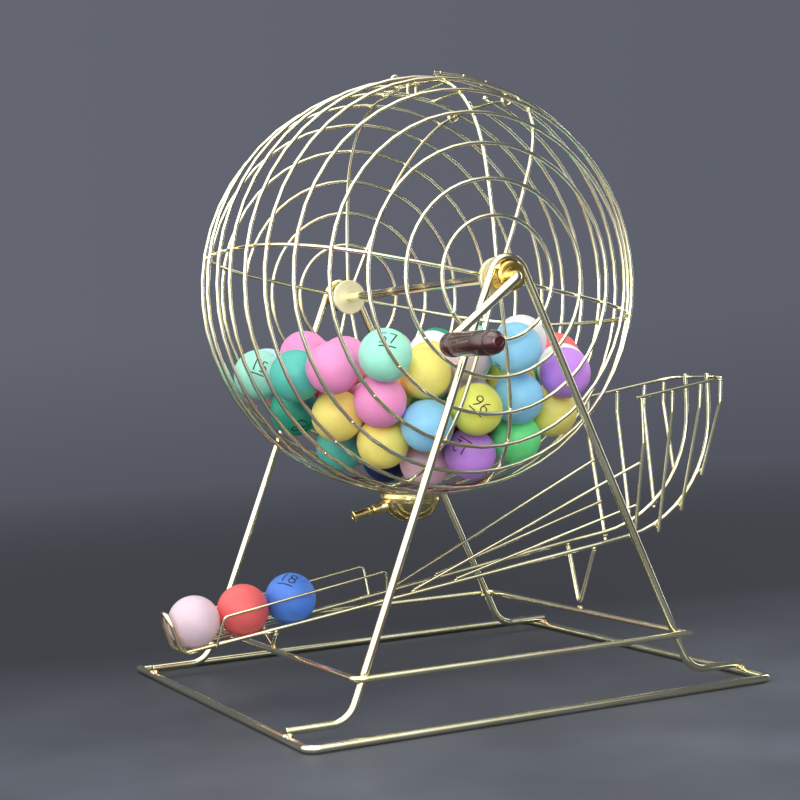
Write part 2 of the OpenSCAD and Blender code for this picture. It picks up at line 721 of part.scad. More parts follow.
heap_start = let (a = heap_spacing * 1.045, jit = rands(-6, 6, 3000, 18))
    [for (i = [-6 : 6], j = [-6 : 6], k = [-6 : 6]) let (
        n = ((i + 6) * 13 + j + 6) * 3,
        p = [a * (i + j / 2 + k / 2 + 0.21), a * (j * 0.866 + k * 0.2887 + 0.13), a * k * 0.8165 - 28],
        c = [p[0] * cos(17) - p[2] * sin(17), p[1], p[0] * sin(17) + p[2] * cos(17)])
        if (c[2] < -heap_top_drop && depth_of([norm([c[0], c[2]]), abs(c[1])]) > heap_in - 9)
            c + [jit[n], jit[n + 1], jit[n + 2]]];
function heap() = relax(heap_start, 60);

module heap_part(lo, hi) {
    P = heap();
    for (p = P) if (p[2] >= lo && p[2] < hi) color("#e8b7c4") translate([p[0], p[1], p[2] + hub_height]) sphere(d = ball_d, $fn = 32);
}

module balls_heap_lower() {
    heap_part(-cage_r, -heap_lower_drop);
}

module balls_heap_middle() {
    heap_part(-heap_lower_drop, -heap_upper_drop);
}

module balls_heap_upper() {
    heap_part(-heap_upper_drop, 0);
}

ball_step = (ball_d + 0.15) * cos(slope_a);
chute_ball_x = rail_x0 + stop_ball;
function chute_ball_z(x) = rail_z(x) + (sqrt(pow((ball_d + rail_d) / 2 + weld_gap, 2) - pow(rail_y(x), 2))) / cos(slope_a);

module chute_ball(i, c) {
    x = chute_ball_x + i * ball_step;
    color(c) translate([x, 0, chute_ball_z(x)]) sphere(d = ball_d, $fn = 64);
}

module chute_ball_1() {
    chute_ball(0, "#f3d4d8");
}

module chute_ball_2() {
    chute_ball(1, "#d8333f");
}

module chute_ball_3() {
    chute_ball(2, "#4a86d8");
}

floor_frame();
floor_back_rod();
front_legs();
rear_legs();
brace_frame();
brace_back_rod();
front_bush();
rear_bush();
chute_rails();
strut_left();
strut_right();
guard_near();
guard_far();
funnel_upper();
funnel_lower();
scoop_rim();
scoop_posts_near();
scoop_posts_far();
balls_heap_lower();
balls_heap_middle();
balls_heap_upper();
for (k = [1 : rings]) cage_ring(k);
cage_side_wires();
cage_top_wires();
cage_bottom_wires();
front_hub_disc();
rear_hub_disc();
crank_axle();
rear_collar();
exit_cup();
latch_ring();
crank_grip();
door_panel();
door_pull();
gate_pin();
chute_ball_1();
chute_ball_2();
chute_ball_3();
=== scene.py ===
# Wire lottery machine: a cage of numbered balls on a rod stand with a chute and scoop
import random
from math import acos, asin, atan2, ceil, cos, degrees, hypot, pi, radians, sin, sqrt, tan

import bmesh
import bpy
from mathutils import Matrix, Vector


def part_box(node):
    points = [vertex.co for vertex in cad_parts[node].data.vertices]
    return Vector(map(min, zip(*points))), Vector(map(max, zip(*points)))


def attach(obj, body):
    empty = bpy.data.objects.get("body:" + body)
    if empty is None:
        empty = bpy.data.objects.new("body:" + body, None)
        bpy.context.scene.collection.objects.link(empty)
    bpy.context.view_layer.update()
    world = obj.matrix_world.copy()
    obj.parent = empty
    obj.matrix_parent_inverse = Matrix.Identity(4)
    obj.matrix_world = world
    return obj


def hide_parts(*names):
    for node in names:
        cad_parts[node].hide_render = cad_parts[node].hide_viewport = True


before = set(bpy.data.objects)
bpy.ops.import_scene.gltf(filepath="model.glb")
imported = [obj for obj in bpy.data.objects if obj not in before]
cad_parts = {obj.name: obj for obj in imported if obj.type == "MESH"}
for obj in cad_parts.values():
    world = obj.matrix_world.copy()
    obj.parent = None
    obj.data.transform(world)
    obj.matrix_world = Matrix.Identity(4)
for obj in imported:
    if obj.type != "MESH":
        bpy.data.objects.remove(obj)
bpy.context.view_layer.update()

MM = 0.001

# Sizes and places that the pieces share, in millimetres and degrees. Angles of the cage are about the axle,
# from the top towards the scoop, before CAGE_TURN; the crank's is from the scoop's side, upwards.
HUB_HEIGHT = 315.0
CAGE_TURN = 12.0
CAGE_R, CAGE_HALF = 165.0, 137.2
BAND_R, SHOULDER_R, DOME_R = 412.6, 90.0, 422.7
CAGE_WIRE = 3.0
SIDE_ANGLES = (90.0, -90.0)
TOP_ANGLES = (12.2, -12.2)
EXIT_ANGLE = 173.2
BOTTOM_ANGLES = (EXIT_ANGLE + 12.2, EXIT_ANGLE - 12.2)
RING_COUNT, CUT_RINGS, DOOR_GAP, BEAD_R = 16, (8, 9), (10.8, -11.2), 2.2
AXLE_D, AXLE_BORE, BUSH_BORE = 7.0, 3.6, 3.65
CRANK_ARM, CRANK_ANGLE, CRANK_NEAR, CRANK_END, CRANK_BEND = 80.0, 217.0, -168.0, -239.0, 6.5
AXLE_BACK, GRIP_START = 167.0, -175.7
BUSH_D, BUSH_LEN = 22.0, 14.0
DISC_D, DISC_T, DISC_Y = 30.0, 4.0, 133.832
LEG_Y, LEG_D, FOOT_X, FOOT_BEND = 150.0, 6.0, 143.5, 20.0
FLOOR_X, FLOOR_Y, FLOOR_BEND = 190.0, 187.0, 8.0
BRACE_X, BRACE_Y, BRACE_Z, BRACE_D, BRACE_BEND = 139.0, 155.6, 38.5, 5.0, 8.0
RAIL_D, RAIL_BEND, RAIL_INWARD, RAIL_TOP = 3.8, 105.0, 2.4, 233.0
STOP_BEND, STOP_LEAN, STOP_RISE = 6.0, 17.8, 20.96
RAIL_LOW, RAIL_HIGH = Vector((-212.0, 10.5, 47.0)), Vector((150.0, 21.0, 96.0))
SCOOP_X, SCOOP_Y, SCOOP_Z, SCOOP_TIP = 178.0, 42.0, 216.4, 272.48
SCOOP_D, SCOOP_BEND, SCOOP_TILT = 3.0, 17.0, 8.2
STRUT_D, GUARD_D, FUNNEL_D = 3.5, 2.0, 2.5
CUP_R, CUP_MOUTH, PIN_LEAN = 24.5, 162.5, 17.0
DOOR_Y, DOOR_D, DOOR_EYE_R, DOOR_KINK_R = 46.0, 2.5, 4.0, 4.0
DOOR_SPAN, DOOR_BARS = (-11.5, 9.0), (-9.5, -2.5, 4.5)
PULL_Y, PULL_R, LINK_D = 34.0, 4.4, 2.2
BALL_D = 40.0
ALONG_AXLE = Vector((0, 1, 0))


def outward(angle, length=1.0):
    """A step straight out from the axle at an angle of the resting cage."""
    turn = radians(angle + CAGE_TURN)
    return Vector((length * sin(turn), 0, length * cos(turn)))


def deselect():
    bpy.ops.object.select_all(action="DESELECT")


def edit(piece):
    bpy.context.view_layer.objects.active = piece
    piece.select_set(True)
    bpy.ops.object.mode_set(mode="EDIT")
    bpy.ops.mesh.select_all(action="SELECT")


def leave(piece, name, sharp=35):
    """Ends the shaping of a piece: name, place kept in the mesh, smooth between sharp edges."""
    bpy.ops.object.mode_set(mode="OBJECT")
    bpy.ops.object.transform_apply(location=True, rotation=True, scale=True)
    bpy.ops.object.shade_smooth_by_angle(angle=radians(sharp))
    piece.name = piece.data.name = name
    piece.select_set(False)
    return piece


def start_round(place, heading, radius, sides):
    """A circle drawn square to its heading, open for editing."""
    deselect()
    bpy.ops.mesh.primitive_circle_add(vertices=sides, radius=radius * MM, location=place * MM,
                                      rotation=heading.to_track_quat("Z", "Y").to_euler())
    piece = bpy.context.object
    bpy.ops.object.transform_apply(location=True, rotation=True, scale=True)
    edit(piece)
    return piece


def pull(place, step, scale=1.0):
    """Extrudes the chosen loop by a step and scales it about its new middle."""
    bpy.ops.mesh.extrude_region_move(TRANSFORM_OT_translate={"value": step * MM})
    if abs(scale - 1) > 1e-6:
        bpy.ops.transform.resize(value=(scale,) * 3, center_override=(place + step) * MM)
    return place + step


def close_up(piece, name, sharp=35):
    """Fills the open ends, merges doubled points and turns the faces outwards."""
    bpy.ops.mesh.select_all(action="SELECT")
    bpy.ops.mesh.remove_doubles(threshold=1e-6)
    bpy.ops.mesh.fill_holes(sides=0)
    bpy.ops.mesh.normals_make_consistent(inside=False)
    return leave(piece, name, sharp)


def turned(name, base, along, stations, sides=48, sharp=35, bored=False):
    """A piece turned on a lathe: a disc drawn along its axis, its rim scaled at each (distance, radius)."""
    place, along = Vector(base), Vector(along).normalized()
    if bored:
        stations = stations + stations[:1]
    piece = start_round(place + along * stations[0][0], along, stations[0][1], sides)
    place = place + along * stations[0][0]
    for (d0, r0), (d1, r1) in zip(stations, stations[1:]):
        place = pull(place, along * (d1 - d0), r1 / r0)
    return close_up(piece, name, sharp)


def drawn(name, start, heading, moves, thick, sides=16, nose=0.3):
    """A round wire drawn from its start. A move is a place to run to, or a bend (middle, axis, angle)."""
    heading, r = Vector(heading).normalized(), thick / 2
    piece = start_round(Vector(start), heading, r - nose, sides)
    place = pull(Vector(start), heading * nose, r / (r - nose))
    for move in moves:
        if isinstance(move, Vector):
            if (move - place).length > 0.01:
                place = pull(place, move - place)
        else:
            middle, axis, angle = move
            steps = max(3, ceil(degrees(angle) / 7.5))
            bpy.ops.mesh.spin(steps=steps, angle=-angle, center=middle * MM, axis=axis)
            turn = Matrix.Rotation(angle, 3, axis)
            place, heading = middle + turn @ (place - middle), turn @ heading
    pull(place, heading * nose, (r - nose) / r)
    return close_up(piece, name)


def bent(name, corners, radii, thick, sides=16, nose=0.3):
    """A rod run straight from corner to corner and bent round each with its own centre-line radius."""
    corners = [Vector(c) for c in corners]
    ways = [(b - a).normalized() for a, b in zip(corners, corners[1:])]
    moves = []
    for corner, before, after, radius in zip(corners[1:], ways, ways[1:], radii):
        angle, axis = before.angle(after), before.cross(after).normalized()
        tangent = corner - before * radius * tan(angle / 2)
        moves += [tangent, (tangent + axis.cross(before) * radius, axis, angle)]
    moves.append(corners[-1] - ways[-1] * nose)
    return drawn(name, corners[0], ways[0], moves, thick, sides, nose)


def hoop(name, middle, axis, arm, sweep, thick, sides=16):
    """A wire bent round a middle, starting at the end of the arm."""
    axis = Vector(axis).normalized()
    middle, arm = Vector(middle), Vector(arm)
    bend = (middle, axis, radians(sweep))
    return drawn(name, middle + arm, axis.cross(arm), [bend], thick, sides, 0.2)


def joined(name, pieces):
    """Several meshes made into one piece."""
    deselect()
    for piece in pieces:
        piece.select_set(True)
    bpy.context.view_layer.objects.active = pieces[0]
    if len(pieces) > 1:
        bpy.ops.object.join()
    whole = bpy.context.view_layer.objects.active
    whole.name = whole.data.name = name
    whole.select_set(False)
    return whole


def copy_of(mesh, name):
    """A new piece with its own copy of a mesh."""
    piece = bpy.data.objects.new(name, mesh.copy())
    bpy.context.scene.collection.objects.link(piece)
    return piece


def weld_lump():
    """One brazed spot: a small ball of metal, flattened and slightly uneven."""
    deselect()
    bpy.ops.mesh.primitive_uv_sphere_add(segments=10, ring_count=6, radius=0.5)
    piece = bpy.context.object
    edit(piece)
    bpy.ops.transform.resize(value=(1.0, 1.0, 0.8))
    bpy.ops.transform.vertex_random(offset=0.03, seed=4)
    return leave(piece, "weld_lump", 60)


LUMP = weld_lump()
LUMP_MESH = LUMP.data
bpy.data.objects.remove(LUMP)


def welds(name, spots):
    """Copies of the weld lump at (place, length along, width, direction along)."""
    lumps = []
    for i, (place, length, width, along) in enumerate(spots):
        lump = copy_of(LUMP_MESH, f"{name}_{i}")
        size = Matrix.Diagonal((length * MM, width * MM, width * MM, 1))
        turn = Vector(along).to_track_quat("X", "Z").to_matrix().to_4x4()
        shape = Matrix.Translation(Vector(place) * MM) @ turn @ size
        lump.data.transform(shape @ Matrix.Rotation(i * 2.4, 4, "X"))
        lumps.append(lump)
    return joined(name, lumps)


def fit(piece, material, slot, body, *nodes):
    """Gives a finished piece its material, the body that it moves with and the solids it stands for. The slot
    is not used.
    """
    piece.data.materials.clear()
    piece.data.materials.append(material)
    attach(piece, body)
    if nodes:
        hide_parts(*nodes)


# Shader groups and materials


def colour(r, g, b):
    """A paint colour given as it looks on a screen, 0 to 255."""
    return tuple(c / 3294.6 if c <= 10.3 else ((c / 255 + 0.055) / 1.055) ** 2.4 for c in (r, g, b)) + (1,)


class Board:
    """A node tree with short ways to add and join nodes."""

    def __init__(self, tree):
        self.tree = tree

    def add(self, kind, inputs=None, **settings):
        node = self.tree.nodes.new(kind)
        for key, value in settings.items():
            setattr(node, key, value)
        for key, value in (inputs or {}).items():
            if isinstance(value, bpy.types.NodeSocket):
                self.join(value, node.inputs[key])
            else:
                node.inputs[key].default_value = value
        return node

    def join(self, output, socket):
        self.tree.links.new(output, socket)

    def place(self):
        return self.add("ShaderNodeTexCoord").outputs["Object"]

    def math(self, operation, a, b=0.0):
        return self.add("ShaderNodeMath", {0: a, 1: b}, operation=operation).outputs[0]

    def vector(self, operation, a, b=(0, 0, 0)):
        node = self.add("ShaderNodeVectorMath", {0: a, 1: b}, operation=operation)
        return node.outputs["Value" if operation in ("LENGTH", "DOT_PRODUCT") else "Vector"]

    def noise(self, vector, scale, detail=2.0, roughness=0.5):
        return self.add("ShaderNodeTexNoise", {"Vector": vector, "Scale": scale, "Detail": detail,
                                               "Roughness": roughness}).outputs["Fac"]

    def spread(self, value, low, high, to_low=0.0, to_high=1.0):
        return self.add("ShaderNodeMapRange", {"Value": value, "From Min": low, "From Max": high,
                                               "To Min": to_low, "To Max": to_high}).outputs["Result"]

    def mix(self, factor, a, b):
        return self.add("ShaderNodeMix", {"Factor": factor, 6: a, 7: b}, data_type="RGBA").outputs[2]


def group(name, inputs, outputs):
    """A shader node group with its sockets named by kind. Gives its tree, its board and the two ends."""
    tree = bpy.data.node_groups.new(name, "ShaderNodeTree")
    for end, sockets in (("INPUT", inputs), ("OUTPUT", outputs)):
        for kind, labels in sockets.items():
            for label in labels:
                tree.interface.new_socket(label, in_out=end, socket_type="NodeSocket" + kind)
    board = Board(tree)
    return tree, board, board.add("NodeGroupInput").outputs, board.add("NodeGroupOutput").inputs


def plating_group():
    """Cloudy plating: two metal tones, coppery patches, uneven gloss and the drawn wire's slight ripple."""
    tree, b, given, out = group("plating_cloud", {
        "Color": ("Bright", "Deep"), "Float": ("Copper", "Cloud Scale", "Gloss Low", "Gloss High")},
        {"Color": ("Colour",), "Float": ("Roughness", "Height")})
    place = b.place()
    cloud = b.noise(place, given["Cloud Scale"], 3.0, 0.55)
    ripple = b.noise(place, 420.0, 2.0, 0.6)
    specks = b.spread(b.noise(place, 1500.0, 1.0), 0.68, 0.8)
    tone = b.spread(b.math("ADD", cloud, b.math("MULTIPLY", ripple, 0.25)), 0.45, 0.85)
    patch = b.math("MULTIPLY", b.spread(b.noise(place, 11.0, 1.0), 0.58, 0.72), given["Copper"])
    metal = b.mix(tone, given["Bright"], given["Deep"])
    b.join(b.mix(patch, metal, colour(232, 186, 158)), out["Colour"])
    rough = b.spread(b.math("ADD", ripple, cloud), 0.7, 1.3)
    span = b.math("SUBTRACT", given["Gloss High"], given["Gloss Low"])
    level = b.math("ADD", given["Gloss Low"], b.math("MULTIPLY", rough, span))
    b.join(b.math("ADD", level, b.math("MULTIPLY", specks, 0.12)), out["Roughness"])
    pits = b.math("MULTIPLY", specks, 0.5)
    b.join(b.math("SUBTRACT", b.math("MULTIPLY", ripple, 0.7), pits), out["Height"])
    return tree


def spun_group():
    """Fine rings left by turning or spinning about an axis."""
    tree, b, given, out = group("spun_rings", {"Vector": ("Centre", "Axis"), "Float": ("Ring Pitch",)},
                                {"Float": ("Rings",)})
    place = b.place()
    arm = b.vector("SUBTRACT", place, given["Centre"])
    radius = b.vector("LENGTH", b.vector("CROSS_PRODUCT", arm, given["Axis"]))
    along = b.vector("DOT_PRODUCT", arm, given["Axis"])
    path = b.math("ADD", radius, along)
    turns = b.math("DIVIDE", b.math("MULTIPLY", path, 2 * pi), given["Ring Pitch"])
    wave = b.math("SINE", b.math("ADD", turns, b.math("MULTIPLY", b.noise(place, 160.0), 3.0)))
    b.join(b.spread(wave, -1.0, 1.0), out["Rings"])
    return tree


def lacquer_group():
    """Wood grain that shows faintly through dark lacquer, drawn out along Y."""
    tree, b, given, out = group("lacquer_grain", {"Color": ("Dark", "Light")},
                                {"Color": ("Colour",), "Float": ("Pores", "Roughness")})
    place = b.place()
    drawn_out = b.add("ShaderNodeMapping", {"Vector": place, "Scale": (1.0, 0.09, 1.0)}).outputs["Vector"]
    grain = b.noise(drawn_out, 260.0, 4.0, 0.6)
    b.join(b.mix(b.spread(grain, 0.35, 0.7), given["Dark"], given["Light"]), out["Colour"])
    b.join(b.spread(b.noise(drawn_out, 900.0, 2.0), 0.62, 0.72), out["Pores"])
    b.join(b.spread(grain, 0.3, 0.8, 0.22, 0.34), out["Roughness"])
    return tree


def shell_group():
    """Matt moulded shell of a ball: faint cloud, fine pitting and handling scuffs."""
    tree, b, given, out = group("ball_shell", {"Color": ("Tint", "Shade")},
                                {"Color": ("Colour",), "Float": ("Roughness", "Height")})
    place = b.place()
    cloud = b.spread(b.noise(place, 55.0, 3.0), 0.4, 0.75)
    pits = b.noise(place, 1900.0, 2.0)
    scuffs = b.spread(b.noise(place, 190.0, 5.0, 0.7), 0.6, 0.75)
    b.join(b.mix(b.math("MULTIPLY", cloud, 0.6), given["Tint"], given["Shade"]), out["Colour"])
    matt = b.spread(pits, 0.3, 0.7, 0.42, 0.52)
    b.join(b.math("ADD", matt, b.math("MULTIPLY", scuffs, 0.12)), out["Roughness"])
    b.join(pits, out["Height"])
    return tree


PLATING, SPUN, LACQUER, SHELL = plating_group(), spun_group(), lacquer_group(), shell_group()


def finish(name, **sockets):
    """A new material. Gives it, its board and its shader's inputs, with plain values set on them."""
    material = bpy.data.materials.new(name)
    material.use_nodes = True
    board = Board(material.node_tree)
    shader = material.node_tree.nodes["Principled BSDF"]
    for label, value in sockets.items():
        shader.inputs[label.replace("_", " ")].default_value = value
    return material, board, shader.inputs


def surface(board, shader, paint, rough, height, strength, distance):
    """Joins a colour, a roughness and a bump to a shader."""
    bump = board.add("ShaderNodeBump", {"Height": height, "Strength": strength, "Distance": distance})
    board.join(paint, shader["Base Color"])
    board.join(rough, shader["Roughness"])
    board.join(bump.outputs["Normal"], shader["Normal"])


def plating(board, bright, deep, cloud, gloss, copper=0.0):
    """The plating group on a material's board; gives its outputs."""
    metal = {"Bright": bright, "Deep": deep, "Copper": copper, "Cloud Scale": cloud, "Gloss Low": gloss[0],
             "Gloss High": gloss[1]}
    return board.add("ShaderNodeGroup", metal, node_tree=PLATING).outputs


def plated(name, bright, deep, cloud, gloss, ripple, copper=0.0):
    """Plated rod or wire."""
    material, board, shader = finish(name, Metallic=1.0)
    metal = plating(board, bright, deep, cloud, gloss, copper)
    surface(board, shader, metal["Colour"], metal["Roughness"], metal["Height"], ripple, 0.0002)
    return material


def spun_brass(name, bright, deep, axis=ALONG_AXLE, pitch=0.9, depth=0.35, gloss=(0.08, 0.18)):
    """Brass turned or spun about an axis through the hub, its rings a pitch apart in millimetres."""
    material, board, shader = finish(name, Metallic=1.0)
    metal = plating(board, bright, deep, 45.0, gloss)
    spun = {"Centre": (0, 0, HUB_HEIGHT * MM), "Axis": axis, "Ring Pitch": pitch * MM}
    rings = board.add("ShaderNodeGroup", spun, node_tree=SPUN).outputs["Rings"]
    paint = board.mix(board.math("MULTIPLY", rings, 0.25), metal["Colour"], deep)
    surface(board, shader, paint, metal["Roughness"], rings, depth, 0.0001)
    return material


def shell(name, tint, shade):
    """Matt plastic of a ball, with a little light passing through."""
    material, board, shader = finish(name, Specular_IOR_Level=0.42, Subsurface_Weight=0.3,
                                     Subsurface_Scale=0.012, Subsurface_Radius=(1.0, 0.7, 0.6))
    skin = board.add("ShaderNodeGroup", {"Tint": tint, "Shade": shade}, node_tree=SHELL).outputs
    surface(board, shader, skin["Colour"], skin["Roughness"], skin["Height"], 0.12, 0.0001)
    return material


def lacquered(name):
    """Burgundy wood under a clear coat."""
    material, board, shader = finish(name, Coat_Weight=0.9, Coat_Roughness=0.07)
    grain = {"Dark": colour(40, 8, 12), "Light": colour(84, 14, 22)}
    wood = board.add("ShaderNodeGroup", grain, node_tree=LACQUER).outputs
    surface(board, shader, wood["Colour"], wood["Roughness"], wood["Pores"], 0.15, 0.0001)
    return material


def printed(name):
    """Black ink, a little thin and uneven where it was stamped."""
    material, board, shader = finish(name, Specular_IOR_Level=0.3)
    place = board.place()
    thin = board.spread(board.noise(place, 700.0, 2.0), 0.5, 0.8)
    board.join(board.mix(thin, colour(22, 22, 26), colour(52, 52, 58)), shader["Base Color"])
    board.join(board.spread(thin, 0.0, 1.0, 0.45, 0.6), shader["Roughness"])
    return material


ROD_GOLD = plated("rod_gold", colour(248, 246, 216), colour(232, 222, 176), 26.0, (0.06, 0.14), 0.03, 0.45)
WIRE_GOLD = plated("wire_gold", colour(248, 248, 222), colour(234, 226, 184), 34.0, (0.08, 0.16), 0.02, 0.4)
WELD_GOLD = plated("weld_gold", colour(246, 238, 204), colour(206, 176, 120), 90.0, (0.16, 0.34), 0.5)
HUB_METAL = plated("hub_metal", colour(238, 214, 140), colour(206, 172, 92), 60.0, (0.1, 0.2), 0.1)
DISC_BRASS = {label: spun_brass(f"{label}_disc_brass", colour(252, 248, 218), colour(236, 226, 180),
                                gloss=(0.5, 0.6)) for label in ("front", "rear")}
BUSH_BRASS = {label: spun_brass(f"{label}_bush_brass", colour(252, 222, 134), colour(228, 186, 92))
              for label in ("front", "rear")}
CUP_BRASS = spun_brass("cup_brass", colour(250, 236, 176), colour(222, 200, 128), outward(EXIT_ANGLE),
                       1.3, 0.5)
PIN_BRASS = plated("pin_brass", colour(250, 232, 166), colour(222, 194, 116), 60.0, (0.08, 0.16), 0.08)
WOOD = lacquered("lacquer_wood")
INK = printed("number_ink")

TINTS = {
    "pink": (255, 158, 212), "hot": (240, 84, 122), "blush": (244, 218, 230), "rose": (254, 208, 224),
    "coral": (248, 112, 112), "red": (222, 62, 90), "yellow": (255, 238, 128), "lime": (240, 242, 112),
    "mint": (172, 248, 222), "green": (120, 244, 150), "forest": (42, 166, 136), "teal": (92, 202, 186),
    "ice": (200, 246, 248), "sky": (150, 216, 254), "navy": (34, 56, 118), "blue": (84, 138, 234),
    "violet": (214, 150, 250), "white": (250, 250, 252)}
SHELLS = {name: shell("shell_" + name, colour(*rgb), colour(*(0.9 * c for c in rgb)))
          for name, rgb in TINTS.items()}


# Stage, light and camera, in metres

FLOOR_DROP = 0.0002
TOWARDS_BACK, PALE_SIDE = (0.12, 0.99, 0), (-0.75, -0.42, 0.51)
CAMERA_PLACE, CAMERA_LENS = (-0.60808, -1.22021, 0.25971), 75.98
CAMERA_RIGHT, CAMERA_UP = Vector((0.899103, -0.434859, -0.050121)), Vector((0.055985, 0.000677, 0.998431))


def stage_floor():
    """Slate-grey table with painted shade that darkens it towards the back, behind the stand, and that fades
    into the surround farther out.
    """
    deselect()
    bpy.ops.mesh.primitive_circle_add(vertices=96, radius=3.0, fill_type="NGON", location=(0, 0, -FLOOR_DROP))
    floor = bpy.context.object
    floor.name = floor.data.name = "floor"
    material, board, shader = finish("table_slate", Roughness=0.5, Specular_IOR_Level=0.25)
    place = board.place()
    cloud = board.spread(board.noise(place, 6.0, 3.0), 0.35, 0.7)
    slate = board.mix(cloud, colour(80, 84, 93), colour(99, 104, 115))
    # Painted shade: the slate is mixed towards a dark grey farther back, standing in for less light falling
    # behind the stand
    behind = board.spread(board.vector("DOT_PRODUCT", place, TOWARDS_BACK), -0.25, 0.28)
    board.join(board.mix(behind, slate, colour(44, 46, 52)), shader["Base Color"])
    board.join(board.spread(board.vector("LENGTH", place), 0.9, 2.6, 1.0, 0.0), shader["Alpha"])
    floor.data.materials.append(material)


def surround():
    """Soft ambient light in a slate-grey room, whose pale upper left side only the gloss sees."""
    world = bpy.data.worlds.new("surround")
    bpy.context.scene.world = world
    world.use_nodes = True
    board = Board(world.node_tree)
    world.node_tree.nodes.clear()
    seen = board.add("ShaderNodeLightPath").outputs
    direct = board.math("MAXIMUM", seen["Is Camera Ray"],
                        board.math("MAXIMUM", seen["Is Glossy Ray"], seen["Is Transmission Ray"]))
    way = board.add("ShaderNodeTexCoord").outputs["Generated"]
    part = board.add("ShaderNodeSeparateXYZ", {0: way}).outputs
    wall = board.mix(board.spread(part["X"], -0.2, 0.9), colour(106, 109, 120), colour(90, 93, 103))
    slate = board.mix(board.spread(part["Z"], -0.17, 0.02), colour(62, 65, 74), wall)
    towards = board.spread(board.vector("DOT_PRODUCT", way, PALE_SIDE), 0.1, 0.45)
    pale = board.math("MULTIPLY", towards, seen["Is Glossy Ray"])
    room = board.mix(pale, slate, (1.9, 1.9, 1.84, 1))
    seen_light = board.add("ShaderNodeBackground", {"Color": room, "Strength": 1.0})
    soft = board.add("ShaderNodeBackground", {"Color": (1, 1, 1, 1), "Strength": 0.85})
    both = board.add("ShaderNodeMixShader", {0: direct, 1: soft.outputs[0], 2: seen_light.outputs[0]})
    board.add("ShaderNodeOutputWorld", {"Surface": both.outputs[0]})


def hang(light, place, target):
    """Hangs a lamp at its place, turned to its target."""
    lamp = bpy.data.objects.new(light.name, light)
    bpy.context.scene.collection.objects.link(lamp)
    lamp.location = place
    lamp.rotation_euler = (Vector(target) - Vector(place)).to_track_quat("-Z", "Y").to_euler()


def softbox(name, place, target, size, power):
    """A flat rectangular lamp."""
    light = bpy.data.lights.new(name, "AREA")
    light.shape, light.size, light.size_y, light.energy = "RECTANGLE", *size, power
    hang(light, place, target)


def heap_spot():
    """A soft round lamp trained on the balls in the cage."""
    light = bpy.data.lights.new("heap_spot", "SPOT")
    light.energy, light.spot_size, light.spot_blend, light.shadow_soft_size = 62, radians(16), 0.6, 0.25
    hang(light, (-0.95, -1.7, 0.65), (0.01, -0.05, 0.26))


def place_camera():
    """The photograph's place, heading and field of view."""
    lens = bpy.data.cameras.new("camera")
    lens.lens, lens.sensor_width, lens.sensor_fit = CAMERA_LENS, 36.0, "HORIZONTAL"
    lens.clip_start, lens.clip_end = 0.05, 20.0
    camera = bpy.data.objects.new("camera", lens)
    bpy.context.scene.collection.objects.link(camera)
    turn = Matrix((CAMERA_RIGHT, CAMERA_UP, CAMERA_RIGHT.cross(CAMERA_UP))).transposed()
    camera.matrix_world = Matrix.Translation(CAMERA_PLACE) @ turn.to_4x4()
    bpy.context.scene.camera = camera


stage_floor()
surround()
softbox("top_box", (-0.15, 0.25, 1.75), (0, 0, 0.25), (1.5, 1.0), 5)
softbox("left_box", (-1.9, -0.2, 0.9), (0, 0, 0.25), (1.2, 1.5), 5)
softbox("right_strip", (1.7, 0.5, 0.8), (0, 0, 0.25), (0.4, 1.5), 6)
softbox("front_box", (-0.9, -1.6, 1.1), (0, -0.05, 0.3), (1.3, 0.8), 9)
heap_spot()
place_camera()
bpy.context.scene.view_settings.view_transform = "Standard"

# Cage


def at_angle(out, angle, along):
    """A place in the resting cage, by distance out from the axle, angle and distance along the axle."""
    return Vector((0, along, HUB_HEIGHT)) + outward(angle, out)


def profile_wire(name, angle):
    """One lengthwise wire, bent through dome, shoulder, band, shoulder and dome inside the rings."""
    c1, c3 = Vector((CAGE_R - BAND_R, 0)), Vector((0, CAGE_HALF - DOME_R))
    near, far, gap = BAND_R - SHOULDER_R, DOME_R - SHOULDER_R, (c3 - c1).length
    run = (near ** 2 - far ** 2 + gap ** 2) / (2 * gap)
    unit = (c3 - c1) / gap
    c2 = c1 + unit * run + Vector((-unit.y, unit.x)) * sqrt(near ** 2 - run ** 2)
    band, shoulder, dome = (r - CAGE_WIRE for r in (BAND_R, SHOULDER_R, DOME_R))
    t1, t2 = atan2((c2 - c1).y, (c2 - c1).x), atan2((c2 - c3).y, (c2 - c3).x)
    t3 = acos((DISC_D / 2 - 0.2) / dome)

    def corner(middle, radius, low, high):
        half = (high - low) / 2
        return middle + Vector((cos(low + half), sin(low + half))) * radius / cos(half)

    side = [c3 + dome * Vector((cos(t3), sin(t3))), corner(c3, dome, t2, t3),
            corner(c2, shoulder, t1, t2)]
    flat = side + [corner(c1, band, -t1, t1)] + [Vector((p.x, -p.y)) for p in reversed(side)]
    radii = [dome, shoulder, band, shoulder, dome]
    return bent(name, [at_angle(p.x, angle, p.y) for p in flat], radii, CAGE_WIRE)


def ring_size(k):
    """Radius and place along the axle of cage ring k, from its solid."""
    low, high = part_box(f"cage_ring_{k}")
    return (high.x - low.x) / 2 / MM - CAGE_WIRE / 2, (low.y + high.y) / 2 / MM


RINGS = {k: ring_size(k) for k in range(1, RING_COUNT + 1)}


